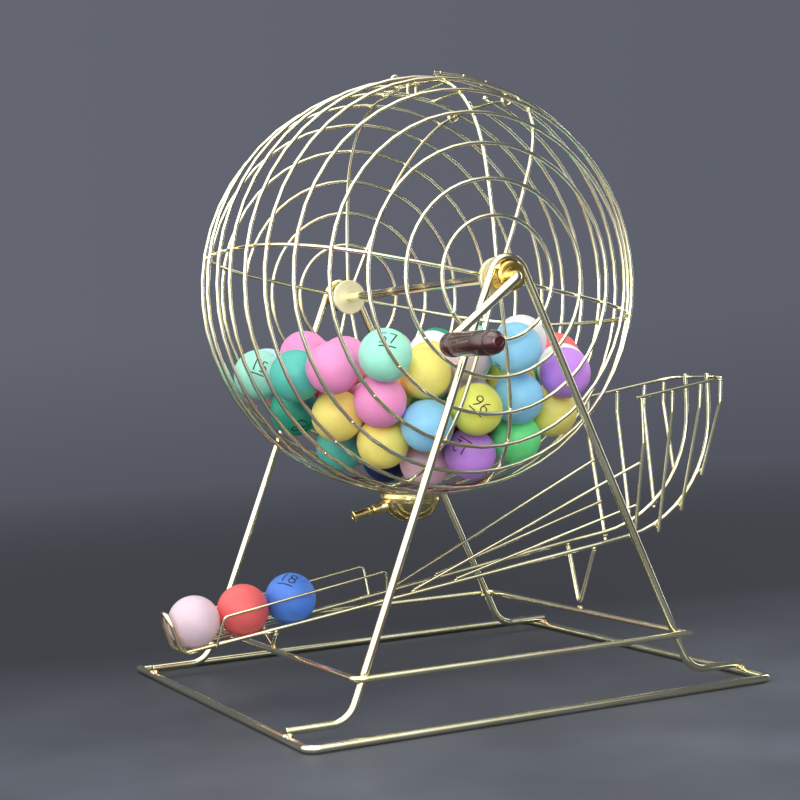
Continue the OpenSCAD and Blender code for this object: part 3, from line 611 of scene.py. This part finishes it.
def cage_rings():
    """Hoops, butt-welded at the back of the left side, with the middle two cut for door and cup."""
    bead = [(BEAD_R * sin(turn), max(BEAD_R * cos(turn), 0.1))
            for turn in (radians(t) for t in range(-90, 91, 15))]
    for k, (radius, y) in RINGS.items():
        name = f"ring_{k:02d}"
        hub = Vector((0, y, HUB_HEIGHT))
        if k in CUT_RINGS:
            half = degrees(asin(sqrt(CUP_R ** 2 - (abs(y) - CAGE_WIRE / 2) ** 2) / radius))
            spans = ((DOOR_GAP[0], EXIT_ANGLE - half), (EXIT_ANGLE + half, 360 + DOOR_GAP[1]))
            parts = [hoop(name, hub, ALONG_AXLE, outward(a, radius), b - a, CAGE_WIRE) for a, b in spans]
            parts.append(turned(name, at_angle(radius, DOOR_GAP[0], y), (0, 0, 1), bead, 20, 60))
        else:
            arm = outward(-131.0 - 3 * k, radius)
            parts = [hoop(name, hub, ALONG_AXLE, arm, 359.8, CAGE_WIRE),
                     welds(name, [(hub + arm, 3.6, 3.7, ALONG_AXLE.cross(arm))])]
        fit(joined(name, parts), WIRE_GOLD, "plated_wire", "cage", f"cage_ring_{k}")


def cage_wires():
    """Two side wires, the top pair and the bottom pair, spot-welded to every ring that they cross."""
    for label, angles in (("side", SIDE_ANGLES), ("top", TOP_ANGLES), ("bottom", BOTTOM_ANGLES)):
        wires = joined(f"{label}_wires", [profile_wire(f"{label}_wire_{i}", a) for i, a in enumerate(angles)])
        fit(wires, WIRE_GOLD, "plated_wire", "cage", f"cage_{label}_wires")
        spots = []
        for k, (radius, y) in RINGS.items():
            if k in CUT_RINGS and label != "side":
                continue
            r0, y0 = RINGS[max(k - 1, 1)]
            r1, y1 = RINGS[min(k + 1, RING_COUNT)]
            normal = Vector((abs(y1 - y0), (r0 - r1) * (1 if y1 > y0 else -1))).normalized()
            out, along = normal * CAGE_WIRE / 2
            spots += [(at_angle(radius - out, a, y - along), 4.2, 3.1, outward(a + 90)) for a in angles]
        spots += [(at_angle(DISC_D / 2 + 0.3, a, side * DISC_Y), 4.4, 3.6, outward(a))
                  for a in angles for side in (-1, 1)]
        fit(welds(f"{label}_wire_welds", spots), WELD_GOLD, "plated_wire", "cage")


def hubs():
    """End discs with a turned recess, and the collar with its grub screw behind the rear bush."""
    rim = DISC_D / 2
    for side, label in ((-1, "front"), (1, "rear")):
        base = Vector((0, side * (DISC_Y - DISC_T / 2), HUB_HEIGHT))
        disc = turned(f"{label}_disc", base, (0, side, 0), [
            (0, AXLE_BORE), (0, rim - 0.6), (0.5, rim), (DISC_T - 0.6, rim), (DISC_T - 0.1, rim - 0.5),
            (DISC_T, rim - 1.4), (DISC_T, 7.2), (DISC_T - 0.5, 6.8), (DISC_T - 0.5, 5.6), (DISC_T, 5.2),
            (DISC_T, AXLE_BORE)], 64, bored=True)
        fit(disc, DISC_BRASS[label], "hub_metal", "cage", f"{label}_hub_disc")
    back = LEG_Y + BUSH_LEN / 2 + 0.4
    collar = turned("collar_ring", (0, back, HUB_HEIGHT), ALONG_AXLE, [
        (0, AXLE_BORE), (0, 6.1), (0.4, 6.5), (5.6, 6.5), (6, 6.1), (6, AXLE_BORE)], bored=True)
    screw = turned("collar_screw", (0, back + 3, HUB_HEIGHT + 6.2), (0, 0, 1), [
        (0, 0.1), (0, 1.5), (0.7, 1.5), (0.9, 1.3), (0.9, 0.8), (0.3, 0.7), (0.3, 0.1)], 24)
    fit(joined("rear_collar_set", [collar, screw]), HUB_METAL, "hub_metal", "cage", "rear_collar")


def crank():
    """Axle, crank arm and spindle in one bent rod, with the lacquered grip turned to shape."""
    turn = radians(CRANK_ANGLE)
    hub = Vector((0, 0, HUB_HEIGHT))
    spindle = hub + Vector((cos(turn), 0, sin(turn))) * CRANK_ARM
    near, end = Vector((0, CRANK_NEAR, 0)), Vector((0, CRANK_END, 0))
    rod = bent("axle_and_crank", [hub + Vector((0, AXLE_BACK, 0)), hub + near, spindle + near, spindle + end],
               [CRANK_BEND, CRANK_BEND], AXLE_D, 28, 0.5)
    fit(rod, ROD_GOLD, "plated_rod", "cage", "crank_axle")
    grip = turned("grip", spindle + Vector((0, GRIP_START, 0)), (0, -1, 0), [
        (26, 3.8), (0.6, 3.9), (0, 4.4), (0, 7.6), (0.3, 8.2), (0.9, 8.6), (1.8, 8.75), (7.8, 8.75),
        (8.8, 8.55), (9.5, 8.1), (9.9, 7.6), (10.2, 7.3), (10.7, 7.25), (11.1, 7.4), (11.5, 7.8), (12.1, 8.2),
        (13, 8.5), (14.5, 8.7), (20, 8.75), (40, 8.75), (60.4, 8.7), (60.9, 8.35), (61.6, 8.45), (64, 8.2),
        (66.4, 7.4), (68.6, 6.2), (70.2, 4.9), (70.8, 4.4), (70.98, 3.6), (70.98, 3.0), (70.7, 2.7),
        (70.7, 0.2)], 64, 40)
    fit(grip, WOOD, "lacquered_wood", "grip", "crank_grip")


def exit_cup():
    """Spun brass cup hung by its mouth from the bottom pair, its guide boss and the pull pin."""
    out, side = outward(EXIT_ANGLE), outward(EXIT_ANGLE + 90)
    mouth = at_angle(CUP_MOUTH, EXIT_ANGLE, 0)
    band, cap, wall = 8.0, 18.0, 1.0
    round_r = (CUP_R ** 2 + cap ** 2) / (2 * cap)

    def round_end(shrink, steps=14):
        r = round_r - shrink
        start = acos(min((CUP_R - shrink) / r, 1))
        turns = [start + (pi / 2 - start) * i / steps for i in range(steps + 1)]
        return [(band + cap - round_r + r * sin(t), max(r * cos(t), 0.15)) for t in turns]

    outside = [(0.5, CUP_R + 0.5), (1.1, CUP_R + 0.7), (1.8, CUP_R + 0.4), (2.2, CUP_R), (band - 2, CUP_R),
               (band - 1.6, CUP_R + 0.25), (band - 0.9, CUP_R + 0.25), (band - 0.5, CUP_R)] + round_end(0)
    lip = [(0.2, CUP_R - wall), (0, CUP_R - wall + 0.3), (0.1, CUP_R + 0.1)]
    cup = turned("cup_bowl", mouth, out, round_end(wall)[::-1] + lip + outside, 72, 50)
    lean = radians(PIN_LEAN)
    line = side * cos(lean) + out * sin(lean)
    root = mouth + side * 19.5 + out * 12.6
    boss = turned("cup_boss", root, line, [
        (1.5, 2.1), (1.5, 4.2), (12.6, 4.2), (13.4, 4.0), (14, 3.6), (14, 2.1)], 32, bored=True)
    foot = turned("cup_boss_foot", root, line, [
        (2.0, 4.2), (2.0, 6.0), (3.6, 5.4), (5.2, 4.6), (6.6, 4.2)], 32, 60, True)
    fit(joined("exit_cup_set", [cup, boss, foot]), CUP_BRASS, "polished_brass", "cage", "exit_cup")
    pin = turned("pull_pin", root, line, [
        (-2, 0.1), (-2, 1.6), (-1.6, 2), (14.4, 2), (14.4, 3.0), (14.7, 3.3), (17.2, 3.3), (17.5, 3.05),
        (18.1, 3.05), (18.4, 3.3), (28.6, 3.3), (29.0, 3.0), (29.0, 4.1), (29.4, 4.5), (31.2, 4.5),
        (31.8, 3.9), (31.8, 2.2), (31.5, 1.8), (31.5, 0.1)], 40)
    fit(pin, PIN_BRASS, "polished_brass", "pin", "gate_pin")


def door():
    """Filling door: two cross bars curled round the right wire of the top pair, and three bars."""
    eye_out = sqrt((BAND_R - CAGE_WIRE - 0.1) ** 2 - DOOR_Y ** 2) - (BAND_R - CAGE_R)
    axis, flat = ALONG_AXLE, outward(DOOR_SPAN[1] + 90)
    pieces, spots = [], []
    for y in (-DOOR_Y, DOOR_Y):
        hub, eye = Vector((0, y, HUB_HEIGHT)), at_angle(eye_out, TOP_ANGLES[0], y)
        first, last = (at_angle(DOOR_REACH, a, y) for a in DOOR_SPAN)
        gap = eye - last
        aim = atan2(gap.z, gap.x) + asin(DOOR_EYE_R / gap.length)
        heading = Vector((cos(aim), 0, sin(aim)))
        touch = last + heading * sqrt(gap.length ** 2 - DOOR_EYE_R ** 2)
        kink = flat.angle(heading)
        start = last - flat * DOOR_KINK_R * tan(kink / 2)
        pieces.append(drawn(f"door_cross_{len(pieces)}", first, axis.cross(first - hub), [
            (hub, axis, radians(20.2)), start, (start + axis.cross(flat) * DOOR_KINK_R, axis, kink), touch,
            (eye, axis, radians(335))], DOOR_D, 14, 0.25))
        spots += [(at_angle(DOOR_REACH, a, y), 3.4, 3.2, ALONG_AXLE) for a in DOOR_BARS]
    for i, a in enumerate(DOOR_BARS):
        ends = [at_angle(DOOR_REACH, a, side * (DOOR_Y + 0.8)) for side in (-1, 1)]
        pieces.append(bent(f"door_bar_{i}", ends, [], DOOR_D, 14))
    fit(joined("door_frame", pieces), WIRE_GOLD, "plated_wire", "door", "door_panel")
    fit(welds("door_welds", spots), WELD_GOLD, "plated_wire", "door")


def door_pull():
    """Pull ring, welded upright on the door bar that is farthest from the hinge."""
    arm = outward(DOOR_BARS[0], PULL_R)
    middle = at_angle(DOOR_REACH + DOOR_D / 2 + 1.15 + PULL_R, DOOR_BARS[0], PULL_Y)
    ring = hoop("door_ring", middle, ALONG_AXLE, arm, 359.6, LINK_D)
    foot = welds("pull_weld", [(middle - arm, 3.2, 2.8, (1, 0, 0))])
    fit(joined("door_pull_ring", [ring, foot]), WIRE_GOLD, "plated_wire", "door", "door_pull")


def latch():
    """Oval latch ring on the left wire of the top pair."""
    low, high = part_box("latch_ring")
    centre = (low + high) / 2 / MM
    x, z = Vector((3.6, 0, 0)), Vector((0, 0, 2.5))
    start = centre - x
    oval = drawn("latch_link", start, (0, 0, 1), [
        start + z, (centre + z, ALONG_AXLE, pi), centre + x - z, (centre - z, ALONG_AXLE, pi),
        start - Vector((0, 0, 0.3))], LINK_D, 14)
    fit(oval, WIRE_GOLD, "plated_wire", "cage", "latch_ring")


DOOR_REACH = RINGS[CUT_RINGS[0] - 1][0] + CAGE_WIRE / 2 + DOOR_D / 2 + 0.05
cage_rings()
cage_wires()
hubs()
crank()
exit_cup()
door()
door_pull()
latch()

# Stand. A function here or below that returns spots gives the places where its rods are brazed.


def stand_rod(name, node, corners, radii, thick, sides, nose):
    """A bent gold rod of the stand, in the place of a solid."""
    fit(bent(name, corners, radii, thick, sides, nose), ROD_GOLD, "plated_rod", "stand", node)


def floor_rods():
    """Floor frame: a U of rod and a straight back rod."""
    z, end_y, back_y, inner = LEG_D / 2, FLOOR_Y + 3.98, FLOOR_Y - 2, FLOOR_X - LEG_D / 2 + 0.2
    stand_rod("floor_u", "floor_frame", [
        (FLOOR_X, end_y, z), (FLOOR_X, -FLOOR_Y, z), (-FLOOR_X, -FLOOR_Y, z), (-FLOOR_X, end_y, z)],
        [FLOOR_BEND, FLOOR_BEND], LEG_D, 24, 0.5)
    stand_rod("floor_back", "floor_back_rod", [(-inner, back_y, z), (inner, back_y, z)], [], LEG_D, 24, 0.5)
    return [((side * (FLOOR_X - 3.2), back_y, z), 3.5, 6.6, (1, 0, 0)) for side in (-1, 1)]


def leg_frames():
    """Two leg frames, each one rod bent over its bush."""
    foot, over = LEG_D * 1.5 + 0.05, BUSH_D / 2 + LEG_D / 2
    rise = HUB_HEIGHT - foot
    lean = atan2(rise, FOOT_X) + asin(over / hypot(FOOT_X, rise))
    brace_x = (over + (HUB_HEIGHT - BRACE_Z) * cos(lean)) / sin(lean)
    spots = []
    for side, label in ((-1, "front"), (1, "rear")):
        y, brace_y = side * LEG_Y, side * (LEG_Y + 3.0)
        stand_rod(f"{label}_leg_rod", f"{label}_legs", [
            (-FLOOR_X - 1, y, foot), (-FOOT_X, y, foot), (0, y, HUB_HEIGHT + over / cos(lean)),
            (FOOT_X, y, foot), (FLOOR_X + 1, y, foot)], [FOOT_BEND, over, FOOT_BEND], LEG_D, 24, 0.5)
        for end in (-1, 1):
            for dy in (-2.6, 2.6):
                spots += [((end * (FLOOR_X - 1.5), y + dy, LEG_D), 4.6, 3.8, (1, 0, 0)),
                          ((end * (FLOOR_X + 1.2), y + dy, LEG_D - 0.4), 3.4, 3.2, (0, 1, 0))]
            turn = pi / 2 - end * radians(52)
            across, up = cos(turn), sin(turn)
            spots += [((end * (brace_x + 1.5), brace_y, BRACE_Z + 1.6), 5.6, 4.0, (1, 0, 0.2)),
                      ((end * (brace_x - 1.5), brace_y, BRACE_Z - 1.8), 5.0, 3.6, (1, 0, 0.2)),
                      ((11.4 * across, y + side * 3.2, HUB_HEIGHT + 11.4 * up), 6.5, 3.4, (-up, 0, across))]
    return spots


def brace_rods():
    """Brace frame of thinner rod, in two bent pieces."""
    stand_rod("brace_l", "brace_frame", [
        (BRACE_X + 3, -BRACE_Y, BRACE_Z), (-BRACE_X, -BRACE_Y, BRACE_Z), (-BRACE_X, BRACE_Y + 3, BRACE_Z)],
        [BRACE_BEND], BRACE_D, 20, 0.4)
    stand_rod("brace_r", "brace_back_rod", [
        (BRACE_D / 2 - BRACE_X, BRACE_Y, BRACE_Z), (BRACE_X, BRACE_Y, BRACE_Z),
        (BRACE_X, BRACE_D / 2 - BRACE_Y, BRACE_Z)], [BRACE_BEND], BRACE_D, 20, 0.4)
    return [((-BRACE_X + 2.4, BRACE_Y - 1.6, BRACE_Z + 1), 4, 4, (1, 0, 0)),
            ((BRACE_X - 1.6, -BRACE_Y + 2.4, BRACE_Z + 1), 4, 4, (1, 0, 0))]


def bushes():
    """Turned gold bushes in the loops of the legs, waisted, with a recess in the outer face."""
    rim, end = BUSH_D / 2, BUSH_LEN
    for side, label in ((-1, "front"), (1, "rear")):
        bush = turned(f"{label}_bush_turned", (0, side * (LEG_Y - end / 2), HUB_HEIGHT), (0, side, 0), [
            (0, BUSH_BORE), (0, rim - 1.4), (0.3, rim - 0.6), (1, rim), (4.6, rim), (5.0, rim - 0.25),
            (9.0, rim - 0.25), (9.4, rim), (end - 1, rim), (end - 0.5, rim - 0.3), (end - 0.1, rim - 0.9),
            (end, rim - 1.6), (end, 7.4), (end - 0.3, 7.1), (end - 0.3, 6.2), (end, 5.9), (end, BUSH_BORE)],
            64, bored=True)
        fit(bush, BUSH_BRASS[label], "gold_bush", "stand", f"{label}_bush")


stand_spots = floor_rods() + leg_frames() + brace_rods()
fit(welds("stand_welds", stand_spots), WELD_GOLD, "plated_rod", "stand")
bushes()

# Chute and scoop

RAIL_SLOPE = atan2(RAIL_HIGH.z - RAIL_LOW.z, RAIL_HIGH.x - RAIL_LOW.x)


def on_rail(x, side=1):
    """Centre of a rail at x on the straight slope or on the scoop curve."""
    if x <= RAIL_HIGH.x:
        place = RAIL_LOW.lerp(RAIL_HIGH, (x - RAIL_LOW.x) / (RAIL_HIGH.x - RAIL_LOW.x))
    else:
        middle_x = RAIL_HIGH.x + RAIL_BEND * sin(RAIL_SLOPE)
        middle_z = RAIL_HIGH.z + RAIL_BEND * cos(RAIL_SLOPE)
        place = Vector((x, RAIL_HIGH.y - (x - RAIL_HIGH.x) * tan(radians(RAIL_INWARD)),
                        middle_z - sqrt(RAIL_BEND ** 2 - (x - middle_x) ** 2)))
    return Vector((place.x, side * place.y, place.z))


def rim_height(x):
    return SCOOP_Z + (x - SCOOP_X) * tan(radians(SCOOP_TILT))


def rails():
    """One long wire: down the scoop and the slope, over the stop hoop and back the same way."""
    inward, lean = radians(RAIL_INWARD), radians(STOP_LEAN)
    run = RAIL_BEND * (1 + sin(RAIL_SLOPE))
    foot = on_rail(RAIL_LOW.x - 4)
    over = foot + Vector((-sin(lean), 0, cos(lean))) * (STOP_RISE + RAIL_LOW.y)
    top_x, top_y = RAIL_HIGH.x + run * cos(inward), RAIL_HIGH.y - run * sin(inward)
    one = [Vector((top_x, top_y, RAIL_TOP)), Vector((top_x, top_y, RAIL_HIGH.z + run * tan(RAIL_SLOPE))),
           RAIL_HIGH, foot, over]
    other = [Vector((p.x, -p.y, p.z)) for p in reversed(one)]
    bends = [RAIL_BEND - 0.4, 8, STOP_BEND, RAIL_LOW.y - 0.05]
    stand_rod("chute_wire", "chute_rails", one + other, bends + bends[::-1], RAIL_D, 20, 0.3)


def struts():
    """V struts from the brace frame up to the rails."""
    spots = []
    for x, rail_x, label in ((-BRACE_X, -BRACE_X - 2, "left"), (BRACE_X, BRACE_X + 4, "right")):
        low, lift = Vector((x, 0, BRACE_Z + BRACE_D / 2 + 1.6)), Vector((0, 0, 1.4))
        near, far = (on_rail(rail_x, s) - Vector((0, 0, RAIL_D / 2 + STRUT_D / 2 - 0.2)) for s in (-1, 1))
        stand_rod(f"strut_{label}_wire", f"strut_{label}", [near, low, far], [3], STRUT_D, 16, 0.3)
        spots += [(low - lift, 7, 4.6, (0, 1, 0)), (near + lift, 4.6, 4.4, (1, 0, 0.1)),
                  (far + lift, 4.6, 4.4, (1, 0, 0.1))]
    return spots


def guards():
    """Thin wires that keep the balls on the rails."""
    start, end, beside = -190.0, -47.5, 22.0
    low, high = on_rail(start + 5), on_rail(end - 2.5)
    spots = []
    for side, label in ((-1, "near"), (1, "far")):
        out, y = Vector((0, side * (RAIL_D / 2 + 0.9), -1)), side * beside
        stand_rod(f"guard_{label}_wire", f"guard_{label}", [
            on_rail(start, side) + out, (low.x, y, low.z + 21.3), (high.x, y, high.z + 24.1),
            on_rail(end, side) + out], [3.5, 3.5], GUARD_D, 14, 0.25)
        spots += [(on_rail(x, side) + Vector((0, side * 1.9, 0.2)), 3.6, 3.0, (1, 0, 0.13))
                  for x in (start, end)]
    return spots


def post_lines():
    """Foot, bend and top of each scoop post of the far side."""
    lines = []
    for rail_x, rim_x, drop in ((182, 183, 39.1), (208, 214, 18.6), (233, 243, 20.8), (256, 264, 20.8)):
        foot = on_rail(rail_x)
        kink = Vector((rail_x + (rim_x - rail_x) * 0.8, SCOOP_Y, rim_height(rim_x) - drop))
        tangent = on_rail(rail_x + 0.5) - on_rail(rail_x - 0.5)
        across = tangent.cross(kink - foot)
        low = foot + Vector((0, (RAIL_D / 2 + SCOOP_D / 2 - 0.1) * across.length / abs(across.y), 0))
        lines.append((low, kink, Vector((rim_x, SCOOP_Y, rim_height(rim_x) - 1.3))))
    return lines


def scoop_posts(lines):
    """Four posts a side, outside the rails and under the rim."""
    spots = []
    for side, label in ((-1, "near"), (1, "far")):
        flip = Matrix.Diagonal((1, side, 1))
        rods = []
        for i, (low, kink, top) in enumerate(lines):
            corners = [flip @ p for p in (low + (low - kink).normalized() * 4, kink, top)]
            rods.append(bent(f"post_{label}_{i}", corners, [9], SCOOP_D, 16, 0.3))
            spots += [(flip @ (low - Vector((0, 1.5, 0))), 4.6, 3.8, on_rail(low.x + 1) - on_rail(low.x)),
                      (flip @ (top - Vector((0, 0, 0.4))), 4.2, 3.6, (1, 0, 0.14))]
        fit(joined(f"posts_{label}", rods), ROD_GOLD, "plated_rod", "stand", f"scoop_posts_{label}")
    return spots


def funnels(low, kink):
    """Two pairs of wires that rise from the rails to the first posts."""
    spots = []
    for x, height, label in ((-24.0, 162.0, "upper"), (14.0, 126.0, "lower")):
        start = on_rail(x) + Vector((0, 1.0, 2.9))
        end = low.lerp(kink, (height - low.z) / (kink.z - low.z)) - Vector((0, 2.6, 0))
        wires = []
        for side in (-1, 1):
            flip = Matrix.Diagonal((1, side, 1))
            wires.append(bent(f"funnel_{label}_{side}", [flip @ start, flip @ end], [], FUNNEL_D, 14, 0.25))
            spots += [(flip @ (start - Vector((0, 0.5, 1.2))), 4.6, 3.2, (1, 0, 0.2)),
                      (flip @ (end + Vector((0, 1.2, 0))), 3.6, 3.2, (0, 0, 1))]
        fit(joined(f"funnel_{label}_wires", wires), ROD_GOLD, "plated_rod", "stand", f"funnel_{label}")
    return spots


def scoop_rim():
    """The scoop's rim, a U that rises to its tip, where both rails meet it."""
    tilt = radians(SCOOP_TILT)
    length = (SCOOP_TIP - SCOOP_X) / cos(tilt)

    def on_rim(u, v):
        return Vector((SCOOP_X + u * cos(tilt), v, SCOOP_Z + u * sin(tilt)))

    corners = [on_rim(0, SCOOP_Y), on_rim(length, SCOOP_Y), on_rim(length, -SCOOP_Y), on_rim(0, -SCOOP_Y)]
    stand_rod("scoop_rim_wire", "scoop_rim", corners, [SCOOP_BEND, SCOOP_BEND], SCOOP_D, 16, 0.3)
    return [(on_rim(length, side * 16.0) - Vector((1.6, 0, 0)), 4.6, 4.2, (0, 1, 0)) for side in (-1, 1)]


rails()
posts = post_lines()
chute_spots = struts() + guards() + scoop_posts(posts) + funnels(*posts[0][:2]) + scoop_rim()
fit(welds("chute_welds", chute_spots), WELD_GOLD, "plated_rod", "stand")

# Numbered balls

NUMBER_SIZE, NUMBER_THINNED, NUMBER_GRID = 15.0, 0.25, 1.5
UNDERLINE, INK_PROUD, INK_SUNK = (-7.1, -6.2), 0.05, 0.12


def ball_shell():
    """One ball about the origin, turned with its fine moulding seam."""
    r, steps, seam = BALL_D / 2, 20, 0.12
    stations = []
    for i in range(steps + 1):
        angle = pi * i / steps
        depth = seam if i == steps // 2 else 0.0
        stations.append((r - r * cos(angle), max((r - depth) * sin(angle), 0.2)))
    return turned("ball_shell", (0, 0, -r), (0, 0, 1), stations, sides=40, sharp=60)


def number_print(text):
    """The number with its underline as a thin layer of ink wrapped round the ball's +Z side."""
    deselect()
    bpy.ops.object.text_add()
    piece = bpy.context.object
    words = piece.data
    words.body, words.size, words.align_x, words.align_y = text, NUMBER_SIZE * MM, "CENTER", "CENTER"
    words.resolution_u, words.offset = 3, -NUMBER_THINNED * MM
    bpy.ops.object.convert(target="MESH")
    width = max(v.co.x for v in piece.data.vertices)
    mesh = bmesh.new()
    mesh.from_mesh(piece.data)
    low, high = UNDERLINE[0] * MM, UNDERLINE[1] * MM
    corners = ((-width, low), (width, low), (width, high), (-width, high))
    mesh.faces.new([mesh.verts.new((x, y, 0)) for x, y in corners])
    for axis in ((1, 0, 0), (0, 1, 0)):
        for k in range(-8, 9):
            bmesh.ops.bisect_plane(mesh, geom=mesh.verts[:] + mesh.edges[:] + mesh.faces[:],
                                   plane_co=Vector(axis) * k * NUMBER_GRID * MM, plane_no=axis, dist=1e-6)
    bmesh.ops.recalc_face_normals(mesh, faces=mesh.faces)
    if sum(f.normal.z for f in mesh.faces) < 0:
        bmesh.ops.reverse_faces(mesh, faces=mesh.faces)
    lifted = bmesh.ops.extrude_face_region(mesh, geom=mesh.faces[:])
    proud = {v for v in lifted["geom"] if isinstance(v, bmesh.types.BMVert)}
    ball = BALL_D / 2 * MM
    for vert in mesh.verts:
        level = ball + (INK_PROUD if vert in proud else -INK_SUNK) * MM
        x, y = vert.co.x / ball, vert.co.y / ball
        vert.co = Vector((sin(x) * cos(y), sin(y), cos(x) * cos(y))) * level
    bmesh.ops.recalc_face_normals(mesh, faces=mesh.faces)
    mesh.to_mesh(piece.data)
    mesh.free()
    piece.name = "print_" + text
    return piece


BALL_SHELL = ball_shell()
SHELL_MESH = BALL_SHELL.data
bpy.data.objects.remove(BALL_SHELL)


def numbered_ball(name, centre, tint, number, facing, roll, body, node):
    """A copy of the shell with its number printed on the side that faces the given way."""
    blank, ink = copy_of(SHELL_MESH, name), number_print(number)
    for piece in (blank, ink):
        piece.data.materials.clear()
        piece.data.materials.append(SHELLS[tint])
        piece.data.materials.append(INK)
    for face in ink.data.polygons:
        face.material_index = 1
    ball = joined(name, [blank, ink])
    turn = Vector(facing).normalized().to_track_quat("Z", "Y").to_matrix().to_4x4()
    ball.data.transform(Matrix.Translation(centre) @ turn @ Matrix.Rotation(radians(roll), 4, "Z"))
    ball.data.update()
    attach(ball, body)
    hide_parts(node)


def centres_of(node):
    """Centres of the loose balls in a CAD node, from the top down."""
    mesh = bmesh.new()
    mesh.from_mesh(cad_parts[node].data)
    bmesh.ops.remove_doubles(mesh, verts=mesh.verts, dist=1e-5)
    left, found = set(mesh.verts), []
    while left:
        island, queue = [], [left.pop()]
        while queue:
            vert = queue.pop()
            island.append(vert.co.copy())
            for edge in vert.link_edges:
                other = edge.other_vert(vert)
                if other in left:
                    left.remove(other)
                    queue.append(other)
        low = Vector(min(c[i] for c in island) for i in range(3))
        high = Vector(max(c[i] for c in island) for i in range(3))
        found.append((low + high) / 2)
    mesh.free()
    return sorted(found, key=lambda c: (-round(c.z, 4), round(c.x, 4), round(c.y, 4)))


# Tints of the balls that show from the front, and the numbers that face it, by group and rank from the top
SHOWN = {
    "upper": {0: "white", 1: "pink", 2: "mint", 3: "forest", 5: "sky", 6: "mint", 7: "white", 8: "mint",
              9: "blush", 10: "pink", 11: "pink", 12: "coral", 13: "ice", 14: "pink", 16: "yellow",
              17: "mint", 18: "teal", 22: "yellow", 25: "white", 26: "blush", 28: "violet"},
    "middle": {2: "lime", 4: "yellow", 9: "pink", 11: "pink", 12: "blush", 13: "sky", 15: "forest",
               16: "blush", 18: "yellow", 19: "lime", 21: "green", 22: "yellow", 24: "sky"},
    "lower": {5: "yellow", 7: "green", 8: "teal", 10: "hot", 11: "violet", 14: "navy", 15: "rose", 2: "red"}}
FACING = {("upper", 17): ("15", -24, (-0.3, -0.9, 0.35)), ("upper", 6): ("57", -14, (-0.2, -0.75, 0.6)),
          ("middle", 19): ("96", -48, (-0.3, -0.95, 0.2)), ("lower", 11): ("12", 150, (-0.75, -0.6, 0.35)),
          ("middle", 15): ("90", 60, (-0.1, -0.75, -0.65))}


def fill_heap():
    """Balls at the places of the solids, tinted and turned at random where nothing is chosen above."""
    draw = random.Random(7)
    count = 0
    for part in ("upper", "middle", "lower"):
        node = "balls_heap_" + part
        for i, centre in enumerate(centres_of(node)):
            count += 1
            tint = draw.choice(sorted(TINTS))
            facing = (draw.uniform(-0.6, 1), draw.uniform(0, 1), draw.uniform(-1, 1))
            roll = draw.uniform(-180, 180)
            tint = SHOWN[part].get(i, tint)
            number, roll, facing = FACING.get((part, i), (str(count), roll, facing))
            numbered_ball(f"ball_{part}_{i + 1:02d}", centre, tint, number, facing, roll, "stand", node)


fill_heap()
for body, tint, number, facing, roll, slot in (
        ("ball_1", "blush", "7", (-0.2, 0.5, -1), 0, "ball_blush"),
        ("ball_2", "coral", "34", (0.3, 0.4, -1), 0, "ball_red"),
        ("ball_3", "blue", "18", (-0.25, -0.5, 1), -24, "ball_blue")):
    node = "chute_" + body
    centre = sum(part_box(node), Vector()) / 2
    numbered_ball(node + "_shell", centre, tint, number, facing, roll, body, node)
